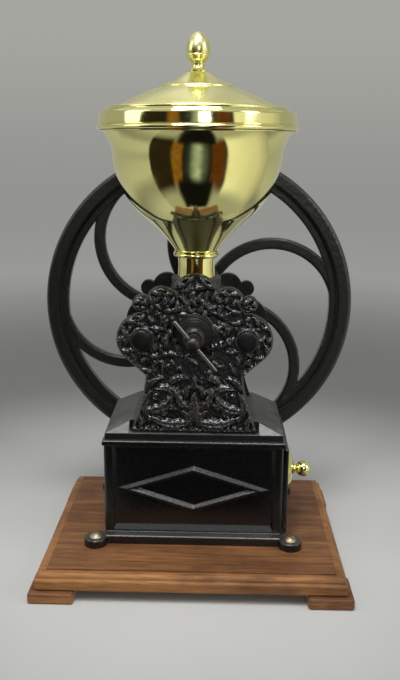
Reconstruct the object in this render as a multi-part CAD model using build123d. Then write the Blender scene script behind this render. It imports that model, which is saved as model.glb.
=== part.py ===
from build123d import *

import math
import os

# Counter coffee mill with one flywheel. Millimetres, +Z up, the front plate faces -Y.
# While it is modelled, y = 0 is the middle of the board and z = 0 the floor. On export all
# pieces move along Y, so that the origin is at the bottom centre of the whole object.

# Fits
fit = 0.05             # radial clearance of running and seated cylinders
slide_gap = 0.6        # between the drawer and the opening that it passes
touch_gap = 0.1        # between faces that slide on each other
lid_gap = 0.3          # between the lid and the hopper's rim
overlap = 1.0          # of a cut past a face, or of a body sunk into the next one
round_share = 0.95     # share of a step that its rounding takes
eighth = math.sqrt(0.5)    # sine and cosine at the middle of a quarter round

# Base
foot_side = 48.0
foot_height = 12.0
foot_overhang = 6.0
foot_round = 3.0
board_width = 330.0
board_depth = 264.0
board_band = 13.0      # upright band at the bottom of the board's edge
board_band_round = 3.0
board_ovolo = 5.0      # quarter round above the band
board_step = 2.0       # low step under the top face
board_ledge = 3.5      # flat outside the quarter round, and the one inside it
foot_screw_head = 4.5
foot_screw_shank = 2.2
foot_screw_recess = 1.5
foot_screw_grip = 14.0
foot_screw_slot = 0.8

# Drawer housing
housing_width = 200.0
housing_depth = 124.0
housing_height = 119.0
housing_wall = 8.0
housing_setback = 9.0  # from the board's middle to the housing's middle
housing_round = 3.0
lip_height = 6.0
lip_proud = 1.5
panel_border = 10.0    # frame left standing beside the recessed panel
panel_depth = 4.0
panel_bevel = 3.0
panel_sill = 12.0      # frame left standing below the panel
panel_sill_bevel = 6.0
diamond_half_width = 85.0
diamond_half_height = 27.0
diamond_ridge = 7.0
diamond_crest = 1.2    # flat left on the ridge
diamond_height = 3.6
diamond_lift = 2.0     # of the diamond's middle above the housing's middle
plinth_height = 10.0
plinth_proud = 11.0
plinth_round = 2.0
lug_radius = 13.0
lug_height = 9.0
lug_reach = 8.7        # of a lug's middle beyond the housing's side
lug_round = 1.5
lug_screw_head = 7.5
lug_screw_dome = 4.2
lug_screw_shank = 3.0
lug_screw_grip = 15.0
screw_slot_width = 1.6
screw_slot_depth = 1.8
lug_screw_turns = (20.0, 75.0, 130.0, 5.0)   # as the slots happen to stand
inner_lug = 16.0
inner_lug_height = 10.0
body_screw_head = 5.0
body_screw_head_height = 3.5
body_screw_shank = 2.5
body_screw_grip = 4.0

# Drawer
sill_height = 6.0
jamb = 6.0             # wall left standing at each side of the drawer's opening
drawer_opening_height = 92.0
runner_width = 14.0
tray_wall = 1.2
tray_end_room = 6.0
tray_headroom = 10.0
front_thickness = 4.0
front_margin = 3.0     # of the drawer's front inside the housing's edges
front_round = 1.2
rosette_radius = 29.7
rosette_height = 12.0
rosette_flange = 3.0
rosette_wall = 1.2
rosette_crown = 0.6        # share of the radius at which the dome has
rosette_crown_rise = 0.72  # this share of its height
knob_lift = 12.0       # of the knob above the middle of the opening
knob_ball = 9.2
knob_stem = 3.6
knob_stem_length = 2.5
knob_stud = 3.0
nut_height = 4.0
nut_room = 1.0         # stud left standing past its nut
nut_across = 11.0
rivet_radius = 2.0
rivet_head = 3.6
rivet_head_height = 1.2
rivet_inset = 14.0
rivet_grip = 3.0       # of a rivet in the drawer's front

# Roof, column and plates
roof_setback = 3.0
roof_eave = 1.5
roof_rise = 20.0       # from the housing's top to the top of the roof
riser_height = 7.5
roof_top_half = 69.0
plate_foot_room = 1.0  # beside the plate's foot
roof_shell = 7.0
axle_rise = 122.5      # of the axle above the housing's top
plate_thickness = 8.0
plate_setback = 7.0    # of the plate's ground behind the housing's front
plate_gap = 90.0       # between the two plates
plate_foot_half = 71.0
plate_foot_lift = 9.0  # of the plate's foot above the housing's top
plate_waist_half = 53.0
plate_waist_drop = 49.0
plate_foot_flare = 0.32    # share of the foot's flare that is left half way up
bolt_half_spacing = 56.5
bolt_drop = 8.5
side_lobe = 28.0
ear_half_spacing = 58.0
ear_rise = 30.5
ear_lobe = 9.0
shoulder_half_spacing = 36.0
shoulder_rise = 31.5
shoulder_lobe = 17.0
crest_rise = 36.5
crest_lobe = 26.0
field_inset = 4.0
field_height = 4.0
column_half = 40.0
column_foot_half = 60.0
column_wall = 10.0
column_foot_flare = 0.3    # as for the plates
chute_depth = 13.5     # of the chute behind the front plate
drum_radius = 46.0
pillar_radius = 13.0
pillar_web_half = 6.5
cover_bolt_head = 11.3
cover_bolt_head_height = 6.0
cover_bolt_head_round = 2.0
cover_bolt_shank = 5.0
cover_bolt_grip = 24.0

# Axle line
boss_radius = 18.0
boss_length = 14.0
gland_radius = 13.0
gland_length = 20.0
gland_spigot = 4.0
gland_spigot_radius = 10.0
gland_nose_radius = 8.6
gland_nose_length = 10.0
gland_bulge_radius = 11.7  # part of the way along the nose
gland_bulge_setback = 3.4
bush_wall = 4.0
bush_flange = 3.0
bush_flange_proud = 3.5
shaft_front_radius = 7.0
shaft_radius = 9.0
wheel_seat_radius = 8.0
shaft_thread_radius = 6.0
pad_length = 3.0
pad_setback = 5.0          # of the pad's back behind the gland's end
screw_radius = 6.0
screw_stem_length = 4.0    # of the screw between the gland and its head
screw_head_radius = 7.5
screw_head_length = 22.0
screw_dome = 5.5
tommy_radius = 2.0
tommy_length = 67.0
tommy_round = 1.4
tommy_offset = 3.4         # of the bar's middle from the screw's axis
tommy_angle = -50.0        # below +X, seen from the front
tommy_setback = 7.0        # of the bar from the screw's tip
axial_room = 3.0           # for the shaft's shift at each thrust face
burr_length = 22.0
burr_front_radius = 27.0
burr_back_radius = 17.0
burr_gap = 1.2
burr_tooth = 1.4
burr_teeth = 16
burr_twist = 14.0
burr_ring_radius = 34.0
burr_ring_setback = 1.0    # of the fixed ring behind the cone's front
feed_radius = 30.0
worm_gap = 2.0
worm_length = 24.0
worm_hub = 13.0
worm_radius = 27.0
worm_vane = 4.0
worm_vanes = 4
worm_twist = 50.0
spring_room = 16.0
spring_wire = 1.0
spring_turns = 4
spring_play = 0.4          # of the spring round the shaft
rear_boss_radius = 20.0
rear_boss_length = 4.0
key_width = 4.0
key_depth = 2.0            # of the key in the shaft, and of it standing proud
set_screw_radius = 3.0
set_screw_slot = 0.8
set_screw_sink = 1.0       # of its head below the drum
set_screw_clear = 0.5      # of its tip from the neck
set_screw_angle = 50.0     # from upright

# Flywheel and crank grip
rim_radius = 191.0
rim_depth = 19.0           # of the rim's heavy section, inwards
flange_depth = 8.0         # of the flange inside it
rim_width = 25.0
rim_round = 5.0
flange_width = 13.0
flange_round = 2.0
rim_setback = 53.0         # of the rim's middle behind the rear plate
hub_radius = 30.0
hub_back = 11.5            # of the hub behind the rim's middle
hub_round = 3.0
spoke_inner_radius = 75.0
spoke_width = 14.0
spoke_thickness = 12.0
spoke_round = 3.0
spoke_count = 6
spoke_angle = -3.0
spoke_root = 2.0           # of a spoke's inner edge sunk into the rim
spoke_stub = 5.0           # of a spoke that belongs to the rim, and to the hub
wheel_washer_radius = 16.0
wheel_washer_thickness = 2.5
wheel_nut_across = 24.0
wheel_nut_height = 10.0
grip_inset = 11.0          # of the stud's axis inside the rim's edge
grip_length = 92.0
grip_end_radius = 10.5
grip_belly_radius = 15.0
stud_radius = 5.0
stud_shoulder = 10.5
stud_shoulder_length = 5.0
stud_recess = 0.5
stud_end_radius = 3.5
stud_nut_radius = 8.0
stud_nut_length = 9.0
stud_nut_cap = 3.0         # metal left over the stud's end
stud_nut_round = 6.4
grip_belly_share = 0.6     # share of its length at which the grip is thickest
grip_nose = 7.0            # length of the rounded end
grip_nose_draw = 2.2       # of the radius over that end

# Hopper and lid
hopper_y = 4.0
brass_wall = 1.5
neck_radius = 20.6
socket_wall = 7.0
socket_top_rise = 52.0     # above the axle
socket_depth = 16.0
throat_radius = 17.0
funnel_foot_rise = 81.7    # of the funnel's lower end above the axle
funnel_foot_step = 2.7     # of the funnel's lower end outside the neck
belly_foot_rise = 119.0
belly_foot_radius = 58.9
belly_top_rise = 183.2
belly_radius = 91.5
flare_height = 26.5        # of the rim above the belly
flare_reach = 10.3         # of it outside the belly
rim_flange_width = 3.6
flare_bow = 0.3            # share of the flare that is left where it bends most
flare_bend = 0.45          # share of its height below the rim where that is
funnel_bow = 2.33          # of the funnel out of a straight line
collar_radius = 4.2
collar_proud = 2.5
collar_seat = 3.0          # of the collar's middle below the funnel's lower end
lid_overhang = 1.4         # of the lid's skirt outside the bowl's flange
lid_skirt_height = 16.0
lid_bead = 2.2
lid_skirt_taper = 2.0
lid_edge_width = 4.0       # of the rounding above the skirt
lid_edge_height = 3.0
lid_shoulder_inset = 11.6  # of the ledge's edge inside the skirt
lid_shoulder_rise = 24.0
lid_ledge_width = 13.2     # of the nearly flat ring round the dome's foot
lid_ledge_rise = 1.0
lid_dome_radius = 40.6
lid_dome_rise = 43.6
lid_crown_radius = 11.0
lid_crown_rise = 59.5
lid_dome_bow = 1.1         # upwards out of a straight line
lid_cove_bow = 0.9         # downwards out of one
lid_spigot_depth = 8.0
finial_base = 10.4
finial_neck = 6.4
finial_base_height = 1.5
finial_neck_rise = 7.5
finial_cup = 13.2
finial_cup_rise = 15.2
finial_cup_band = 1.6
finial_cup_step = 0.9
finial_cup_bow = (10.3, 10.5)       # radius and rise part of the way up the cup
finial_nut_bow = (9.8, 32.5)       # and part of the way up the nut
finial_height = 40.0
finial_tip = 1.0           # small flat on the acorn's tip
finial_stud = 3.0

# Levels and stations that follow from the sizes above
board_thickness = board_band + board_ovolo + board_step
board_top = foot_height + board_thickness
housing_top = board_top + housing_height
axle_z = housing_top + axle_rise
foot_screw_neck = foot_screw_recess + foot_screw_head - foot_screw_shank
foot_screw_tip = foot_height + foot_screw_grip
housing_half = housing_width / 2
housing_front = housing_setback - housing_depth / 2
housing_back = housing_setback + housing_depth / 2
plate_ground = housing_front + plate_setback
plate_back = plate_ground + plate_thickness
plate_front = plate_ground - field_height
rear_plate = plate_back + plate_gap
rear_plate_back = rear_plate + plate_thickness
boss_front = plate_ground - boss_length
gland_front = boss_front - gland_length
spigot_end = boss_front + gland_spigot
burr_front = plate_back + bush_flange + axial_room
burr_back = burr_front + burr_length
worm_front = burr_back + worm_gap
worm_back = worm_front + worm_length
chamber_back = worm_back + spring_room
chute_back = plate_back + chute_depth
rear_boss_back = rear_plate_back + rear_boss_length
hub_front = rear_boss_back + bush_flange + axial_room
rim_y = rear_plate_back + rim_setback
hub_end = rim_y + hub_back
rim_back = rim_y + rim_width / 2
rim_front = rim_y - rim_width / 2
nut_front = hub_end + wheel_washer_thickness
pad_back = spigot_end + pad_setback
pad_front = pad_back - pad_length
screw_head_back = gland_front - screw_stem_length
screw_tip = screw_head_back - screw_head_length
tommy_y = screw_tip + tommy_setback
rim_step_radius = rim_radius - rim_depth
rim_inner_radius = rim_step_radius - flange_depth
grip_circle = rim_radius - grip_inset
grip_z = axle_z - grip_circle
grip_front = rim_back + stud_shoulder_length + touch_gap
grip_back = grip_front + grip_length
stud_end = grip_back + touch_gap + stud_nut_length
bolt_z = axle_z - bolt_drop
socket_top = axle_z + socket_top_rise
funnel_foot_radius = neck_radius + funnel_foot_step
rim_rise = belly_top_rise + flare_height
rim_flare_radius = belly_radius + flare_reach
rim_flange_radius = rim_flare_radius + rim_flange_width
lid_skirt_radius = rim_flange_radius + lid_overhang
lid_shoulder_radius = lid_skirt_radius - lid_shoulder_inset
lid_dome_foot = lid_shoulder_radius - lid_ledge_width
hopper_rim = axle_z + rim_rise
lid_seat = hopper_rim + lid_gap
feet_front = -board_depth / 2 - foot_overhang
middle_y = (feet_front + stud_end) / 2


def block(x0, x1, y0, y1, z0, z1):
    """A box between two corners."""
    return Pos((x0 + x1) / 2, (y0 + y1) / 2, (z0 + z1) / 2) * Box(x1 - x0, y1 - y0, z1 - z0)


def rod_x(radius, x0, x1, y, z):
    """A cylinder along X."""
    return Pos((x0 + x1) / 2, y, z) * Rot(0, 90, 0) * Cylinder(radius, x1 - x0)


def rod_y(radius, y0, y1, x=0, z=axle_z):
    """A cylinder along Y, on the axle unless it is placed elsewhere."""
    return Pos(x, (y0 + y1) / 2, z) * Rot(90, 0, 0) * Cylinder(radius, y1 - y0)


def rod_z(radius, z0, z1, x=0, y=0):
    """A cylinder along Z."""
    return Pos(x, y, (z0 + z1) / 2) * Cylinder(radius, z1 - z0)


def prism_y(sketch, y0, y1):
    """A sketch of X and Z, drawn out along Y."""
    return Pos(0, y1, 0) * extrude(Plane.XZ * sketch, y1 - y0)


def turned_y(curve, x=0, z=axle_z):
    """A profile of radius and Y, turned about an axis along Y."""
    return Pos(x, 0, z) * revolve(make_face(curve), Axis.Y)


def turned_z(curve, x=0, y=0):
    """A profile of radius and Z, turned about an axis along Z."""
    return Pos(x, y, 0) * revolve(Plane.XZ * make_face(curve), Axis.Z)


def polygon(*points):
    """A closed outline of straight lines."""
    return Polyline(*points, close=True)


def dome(radius, foot, rise):
    """The arc of a round cap, from its foot's edge to its top on the axis. rise may be below zero."""
    height = abs(rise)
    ball = (radius ** 2 + height ** 2) / (2 * height)
    half = math.asin(radius / ball) / 2
    middle = height - ball * (1 - math.cos(half))
    through = (ball * math.sin(half), foot + math.copysign(middle, rise))
    return ThreePointArc((radius, foot), through, (0, foot + rise))


def mirrored(sketch):
    """A sketch with its mirror image across x = 0."""
    return sketch + mirror(sketch, Plane.YZ)


def four_corners(half_x, half_y, middle=0.0):
    """The corners of a rectangle about (0, middle)."""
    return [(sx * half_x, middle + sy * half_y) for sx in (-1, 1) for sy in (-1, 1)]


def hex_nut_y(across, bore, y0, y1):
    """A hexagon nut on the axle, between two stations."""
    nut = prism_y(Pos(0, axle_z) * RegularPolygon(across / 2, 6, major_radius=False), y0, y1)
    return nut - rod_y(bore, y0, y1)


# Base


foot_places = four_corners(board_width / 2 + foot_overhang - foot_side / 2,
                           board_depth / 2 + foot_overhang - foot_side / 2)
lug_places = four_corners(housing_half + lug_reach, housing_depth / 2 + plinth_proud, housing_setback)
body_screw_places = four_corners(housing_half - housing_wall - inner_lug / 2,
                                 housing_depth / 2 - housing_wall - inner_lug / 2, housing_setback)


def make_foot_screws():
    screw = turned_z(polygon((0, foot_screw_recess), (foot_screw_head, foot_screw_recess),
                             (foot_screw_shank, foot_screw_neck), (foot_screw_shank, foot_screw_tip),
                             (0, foot_screw_tip)))
    slot = block(-foot_screw_head, foot_screw_head, -screw_slot_width / 2, screw_slot_width / 2,
                 foot_screw_recess, foot_screw_recess + foot_screw_slot)
    return [Pos(x, y, 0) * (screw - slot) for x, y in foot_places]


def foot_screw_hole():
    """The countersunk hole that one of these screws needs, open below."""
    head = foot_screw_head + fit
    shank = foot_screw_shank + fit
    tip = foot_screw_tip + fit
    return turned_z(polygon((0, -overlap), (head, -overlap), (head, foot_screw_recess),
                            (shank, foot_screw_neck), (shank, tip), (0, tip)))


def make_base_board():
    """The moulded board: a rounded band, a quarter round and a low step."""
    half_w = board_width / 2
    half_d = board_depth / 2
    band_top = foot_height + board_band
    band = block(-half_w, half_w, -half_d, half_d, foot_height, band_top)
    band = fillet(band.edges(), board_band_round)
    inset = board_ledge
    round_part = block(-half_w + inset, half_w - inset, -half_d + inset, half_d - inset,
                       foot_height, band_top + board_ovolo)
    round_part = fillet(round_part.edges().group_by(Axis.Z)[-1], board_ovolo * round_share)
    inset = 2 * board_ledge + board_ovolo
    top = block(-half_w + inset, half_w - inset, -half_d + inset, half_d - inset, foot_height, board_top)
    board = band + round_part + top
    for x, y in foot_places:
        board -= Pos(x, y, 0) * foot_screw_hole()
    for x, y in lug_places:
        board -= rod_z(lug_screw_shank + fit, board_top - lug_screw_grip - fit, board_top + overlap, x, y)
    return board


def make_base_feet():
    half = foot_side / 2
    foot = block(-half, half, -half, half, 0, foot_height)
    foot = fillet(foot.edges(), foot_round) - foot_screw_hole()
    return [Pos(x, y, 0) * foot for x, y in foot_places]


# Drawer housing


def upright(y, *points):
    """A flat face of X and Z points, standing at a station along Y."""
    return Pos(0, y, 0) * (Plane.XZ * make_face(polygon(*points)))


def rectangle_xz(half_x, z0, z1, y):
    """An upright rectangle facing along Y."""
    return upright(y, (-half_x, z0), (half_x, z0), (half_x, z1), (-half_x, z1))


def rhombus_xz(inset, y):
    """The diamond's outline, drawn in by an even margin."""
    slant = math.hypot(diamond_half_width, diamond_half_height)
    share = 1 - inset * slant / (diamond_half_width * diamond_half_height)
    a = diamond_half_width * share
    b = diamond_half_height * share
    z = board_top + housing_height / 2 + diamond_lift
    return upright(y, (-a, z), (0, z - b), (a, z), (0, z + b))


def panel_recess(face_y, inward):
    """The cut of a recessed panel with bevelled sides. inward is +1 or -1 along Y."""
    half = housing_half - panel_border
    low = board_top + panel_sill
    high = housing_top - lip_height
    floor_y = face_y + inward * panel_depth
    return loft([rectangle_xz(half, low, high, face_y),
                 rectangle_xz(half - panel_bevel, low + panel_sill_bevel, high - panel_bevel, floor_y)])


def diamond_ring(face_y, inward):
    """A raised diamond with a ridged bar, standing on the panel's floor."""
    root = face_y + inward * (panel_depth + overlap)
    base = face_y + inward * panel_depth
    crest = base - inward * diamond_height
    slope_in = (diamond_ridge - diamond_crest) / 2
    outer = loft([rhombus_xz(0, base), rhombus_xz(slope_in, crest)])
    inner = loft([rhombus_xz(diamond_ridge, base), rhombus_xz(slope_in + diamond_crest, crest)])
    foot = loft([rhombus_xz(0, root), rhombus_xz(0, base)])
    foot -= loft([rhombus_xz(diamond_ridge, root), rhombus_xz(diamond_ridge, base)])
    return (outer - inner) + foot


def make_drawer_housing():
    half = housing_half
    shell = block(-half, half, housing_front, housing_back, board_top, housing_top)
    shell = fillet(shell.edges().filter_by(Axis.Z), housing_round)
    lip = block(-half - lip_proud, half + lip_proud, housing_front - lip_proud, housing_back + lip_proud,
                housing_top - lip_height, housing_top)
    shell += fillet(lip.edges().filter_by(Axis.Z, reverse=True), lip_proud * round_share)
    for face_y, inward in ((housing_front, 1), (housing_back, -1)):
        shell -= panel_recess(face_y, inward)
        shell += diamond_ring(face_y, inward)
    for x, y in lug_places:
        lug = rod_z(lug_radius, board_top, board_top + lug_height, x, y)
        shell += fillet(lug.edges().group_by(Axis.Z)[-1], lug_round)
    for y0, y1 in ((housing_front - plinth_proud, housing_front + overlap),
                   (housing_back - overlap, housing_back + plinth_proud)):
        bar = block(-half - lug_reach, half + lug_reach, y0, y1, board_top, board_top + plinth_height)
        shell += fillet(bar.edges().filter_by(Axis.X).group_by(Axis.Z)[-1], plinth_round)
    inner_x = half - housing_wall
    inner_y = housing_depth / 2 - housing_wall
    cavity = block(-inner_x, inner_x, housing_setback - inner_y, housing_setback + inner_y,
                   board_top, housing_top)
    shell -= cavity
    for x, y in body_screw_places:
        reach = inner_lug / 2
        shell += block(x - reach, x + reach, y - reach, y + reach,
                       housing_top - inner_lug_height, housing_top)
        shell -= rod_z(body_screw_shank + fit, housing_top - inner_lug_height, housing_top, x, y)
    shell -= block(inner_x - overlap, half + lip_proud + overlap, housing_setback - inner_y + jamb,
                   housing_setback + inner_y - jamb, board_top + sill_height,
                   board_top + sill_height + drawer_opening_height)
    for x, y in lug_places:
        shell -= rod_z(lug_screw_shank + fit, board_top, board_top + plinth_height, x, y)
        shell -= rod_z(lug_radius - lug_round, board_top + lug_height,
                       board_top + plinth_height + overlap, x, y)
    return shell


def make_lug_screws():
    """Slotted round head screws through the lugs into the board."""
    seat = board_top + lug_height
    top = seat + lug_screw_dome
    screw = turned_z(Line((0, seat), (lug_screw_head, seat)) + dome(lug_screw_head, seat, lug_screw_dome)
                     + Line((0, top), (0, seat)))
    screw += rod_z(lug_screw_shank, board_top - lug_screw_grip, seat + overlap)
    slot = block(-lug_screw_head, lug_screw_head, -screw_slot_width / 2, screw_slot_width / 2,
                 top - screw_slot_depth, top + overlap)
    screw -= slot
    return [Pos(x, y, 0) * Rot(0, 0, turn) * screw for (x, y), turn in zip(lug_places, lug_screw_turns)]


def make_body_screws():
    """Screws from inside the housing up into the roof."""
    seat = housing_top - inner_lug_height
    screw = rod_z(body_screw_head, seat - body_screw_head_height, seat)
    screw += rod_z(body_screw_shank, seat - overlap, housing_top + body_screw_grip)
    return [Pos(x, y, 0) * screw for x, y in body_screw_places]


def make_drawer_runners():
    inner_y = housing_depth / 2 - housing_wall
    end = housing_half - housing_wall
    near = housing_setback - inner_y
    far = housing_setback + inner_y
    top = board_top + sill_height
    return [block(-end, end, near, near + runner_width, board_top, top),
            block(-end, end, far - runner_width, far, board_top, top)]


# Drawer


drawer_half = housing_depth / 2 - housing_wall - jamb - slide_gap
drawer_floor = board_top + sill_height + touch_gap
tray_top = board_top + sill_height + drawer_opening_height - tray_headroom
tray_front = housing_half + lip_proud + touch_gap
front_face = tray_front + front_thickness
knob_z = (drawer_floor + board_top + sill_height + drawer_opening_height) / 2 + knob_lift
rosette_top = front_face + rosette_height
stem_end = rosette_top + knob_stem_length
ball_x = stem_end + math.sqrt(knob_ball ** 2 - knob_stem ** 2)
stud_x = tray_front - tray_wall - nut_height - nut_room
rivet_places = four_corners(drawer_half - rivet_inset, (tray_top - drawer_floor) / 2 - rivet_inset,
                            (tray_top + drawer_floor) / 2)


def knob_hole():
    return rod_x(knob_stud + fit, stud_x, rosette_top, housing_setback, knob_z)


def rivet_holes():
    return [rod_x(rivet_radius + fit, tray_front - tray_wall - overlap, tray_front + rivet_grip + fit,
                  housing_setback + y, z) for y, z in rivet_places]


def make_drawer_tray():
    back = -housing_half + housing_wall + tray_end_room
    tray = block(back, tray_front, housing_setback - drawer_half, housing_setback + drawer_half,
                 drawer_floor, tray_top)
    hollow = block(back + tray_wall, tray_front - tray_wall, housing_setback - drawer_half + tray_wall,
                   housing_setback + drawer_half - tray_wall, drawer_floor + tray_wall, tray_top)
    return tray - hollow - knob_hole() - rivet_holes()


def make_drawer_front():
    half_y = housing_depth / 2 - front_margin
    low = board_top + plinth_height
    high = housing_top - lip_height - front_margin
    plate = block(tray_front, front_face, housing_setback - half_y, housing_setback + half_y, low, high)
    plate = fillet(plate.faces().sort_by(Axis.X)[-1].edges(), front_round)
    return plate - knob_hole() - rivet_holes()


def make_drawer_rivets():
    head = tray_front - tray_wall
    return [rod_x(rivet_head, head - rivet_head_height, head, housing_setback + y, z)
            + rod_x(rivet_radius, head - rivet_head_height / 2, tray_front + rivet_grip,
                    housing_setback + y, z) for y, z in rivet_places]


def turned_x(curve):
    """A profile of X and radius, turned about the knob's axis."""
    return Pos(0, housing_setback, knob_z) * revolve(make_face(curve), Axis.X)


def make_knob_rosette():
    """A spun dome with a narrow flange, open behind."""
    foot = rosette_radius - rosette_flange
    rise = rosette_height - rosette_wall
    outside = (Line((front_face, rosette_radius), (front_face + rosette_wall, rosette_radius))
               + Line((front_face + rosette_wall, rosette_radius), (front_face + rosette_wall, foot))
               + ThreePointArc((front_face + rosette_wall, foot),
                               (front_face + rosette_wall + rise * rosette_crown_rise, foot * rosette_crown),
                               (rosette_top, knob_stud + fit)))
    inside = (Line((rosette_top, knob_stud + fit), (rosette_top - rosette_wall, knob_stud + fit))
              + ThreePointArc((rosette_top - rosette_wall, knob_stud + fit),
                              (front_face + rise * rosette_crown_rise, (foot - rosette_wall) * rosette_crown),
                              (front_face, foot - rosette_wall))
              + Line((front_face, foot - rosette_wall), (front_face, rosette_radius)))
    return turned_x(outside + inside)


def make_drawer_knob():
    outline = (Polyline((stud_x, 0), (stud_x, knob_stud), (rosette_top, knob_stud), (rosette_top, knob_stem),
                        (stem_end, knob_stem))
               + ThreePointArc((stem_end, knob_stem), (ball_x, knob_ball), (ball_x + knob_ball, 0))
               + Line((ball_x + knob_ball, 0), (stud_x, 0)))
    return turned_x(outline)


def make_knob_nut():
    x1 = tray_front - tray_wall
    nut = Pos(x1 - nut_height, housing_setback, knob_z) * Rot(0, 90, 0) * extrude(
        RegularPolygon(nut_across / 2, 6, major_radius=False), nut_height)
    return nut - knob_hole()


# Plates and mill body


def plate_outline(inset=0.0):
    """The outline that both plates share, as a sketch of X and Z, drawn in by an even margin."""
    foot_z = housing_top + plate_foot_lift + inset
    waist_z = axle_z - plate_waist_drop
    foot_half = plate_foot_half - inset
    waist_half = plate_waist_half - inset
    lobe = side_lobe - inset
    flare = (waist_half + (foot_half - waist_half) * plate_foot_flare, (foot_z + waist_z) / 2)
    foot = make_face(Line((0, foot_z), (foot_half, foot_z))
                     + ThreePointArc((foot_half, foot_z), flare, (waist_half, waist_z))
                     + Polyline((waist_half, waist_z), (0, waist_z), (0, foot_z)))
    across = waist_half - bolt_half_spacing
    drop = waist_z - bolt_z
    turn = math.atan2(drop, across) + math.acos(lobe / math.hypot(across, drop))
    tangent = (bolt_half_spacing + lobe * math.cos(turn), bolt_z + lobe * math.sin(turn))
    core = make_face(polygon((0, waist_z), (waist_half, waist_z), tangent, (bolt_half_spacing, bolt_z),
                             (ear_half_spacing, axle_z + ear_rise),
                             (shoulder_half_spacing, axle_z + shoulder_rise), (0, axle_z + crest_rise)))
    side = Pos(bolt_half_spacing, bolt_z) * Circle(lobe)
    ear = Pos(ear_half_spacing, axle_z + ear_rise) * Circle(ear_lobe - inset)
    shoulder = Pos(shoulder_half_spacing, axle_z + shoulder_rise) * Circle(shoulder_lobe - inset)
    crest = Pos(0, axle_z + crest_rise) * Circle(crest_lobe - inset)
    return mirrored(foot + core + side + ear + shoulder) + crest


def bolt_hole(x, radius, y1):
    return rod_y(radius + fit, plate_front - overlap, y1, x, bolt_z)


def make_front_plate():
    plate = prism_y(plate_outline(), plate_ground, plate_back)
    plate += prism_y(plate_outline(field_inset), plate_front, plate_ground + overlap)
    plate += rod_y(boss_radius, boss_front, plate_back)
    plate -= rod_y(gland_spigot_radius + fit, boss_front, spigot_end)
    plate -= rod_y(shaft_front_radius + bush_wall + fit, spigot_end, plate_back)
    for x in (-bolt_half_spacing, bolt_half_spacing):
        plate -= bolt_hole(x, cover_bolt_shank, plate_back)
    return plate


def make_cover_bolts():
    head = rod_y(cover_bolt_head, plate_front - cover_bolt_head_height, plate_front, 0, bolt_z)
    head = fillet(head.edges().group_by(Axis.Y)[0], cover_bolt_head_round)
    bolt = head + rod_y(cover_bolt_shank, plate_front - overlap, plate_back + cover_bolt_grip, 0, bolt_z)
    return [Pos(x, 0, 0) * bolt for x in (-bolt_half_spacing, bolt_half_spacing)]


def set_screw_turn(angle):
    """Turns what stands upright on the axle about the axle's line."""
    return Pos(0, 0, axle_z) * Rot(0, angle, 0) * Pos(0, 0, -axle_z)


def make_burr_set_screws():
    y = (burr_front + burr_back) / 2
    top = axle_z + drum_radius - set_screw_sink
    screw = rod_z(set_screw_radius, axle_z + burr_ring_radius, top, 0, y)
    slot = block(-set_screw_radius, set_screw_radius, y - set_screw_slot / 2, y + set_screw_slot / 2,
                 top - screw_slot_depth, top + overlap)
    return [set_screw_turn(angle) * (screw - slot) for angle in (-set_screw_angle, set_screw_angle)]


def make_roof():
    """A hipped roof on a low riser, with a seat for the front plate's foot."""
    y0 = housing_front + roof_setback
    y1 = housing_back - roof_setback
    eave = housing_half - roof_eave
    top = housing_top + roof_rise
    riser = housing_top + riser_height
    roof = prism_y(make_face(polygon((-eave, housing_top), (eave, housing_top), (eave, riser),
                                     (roof_top_half, top), (-roof_top_half, top), (-eave, riser))), y0, y1)
    seat = housing_top + plate_foot_lift
    seat_half = plate_foot_half + plate_foot_room
    past = top + overlap
    hip = Plane.YZ * make_face(polygon((y0, riser), (y0, past), (plate_back, past), (plate_back, top)))
    step = Plane.YZ * make_face(polygon((y0, riser), (y0, past), (plate_back, past), (plate_back, seat),
                                        (plate_ground, seat)))
    roof -= Pos(-housing_half, 0, 0) * extrude(hip, housing_width)
    return roof - Pos(-seat_half, 0, 0) * extrude(step, 2 * seat_half)


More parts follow.
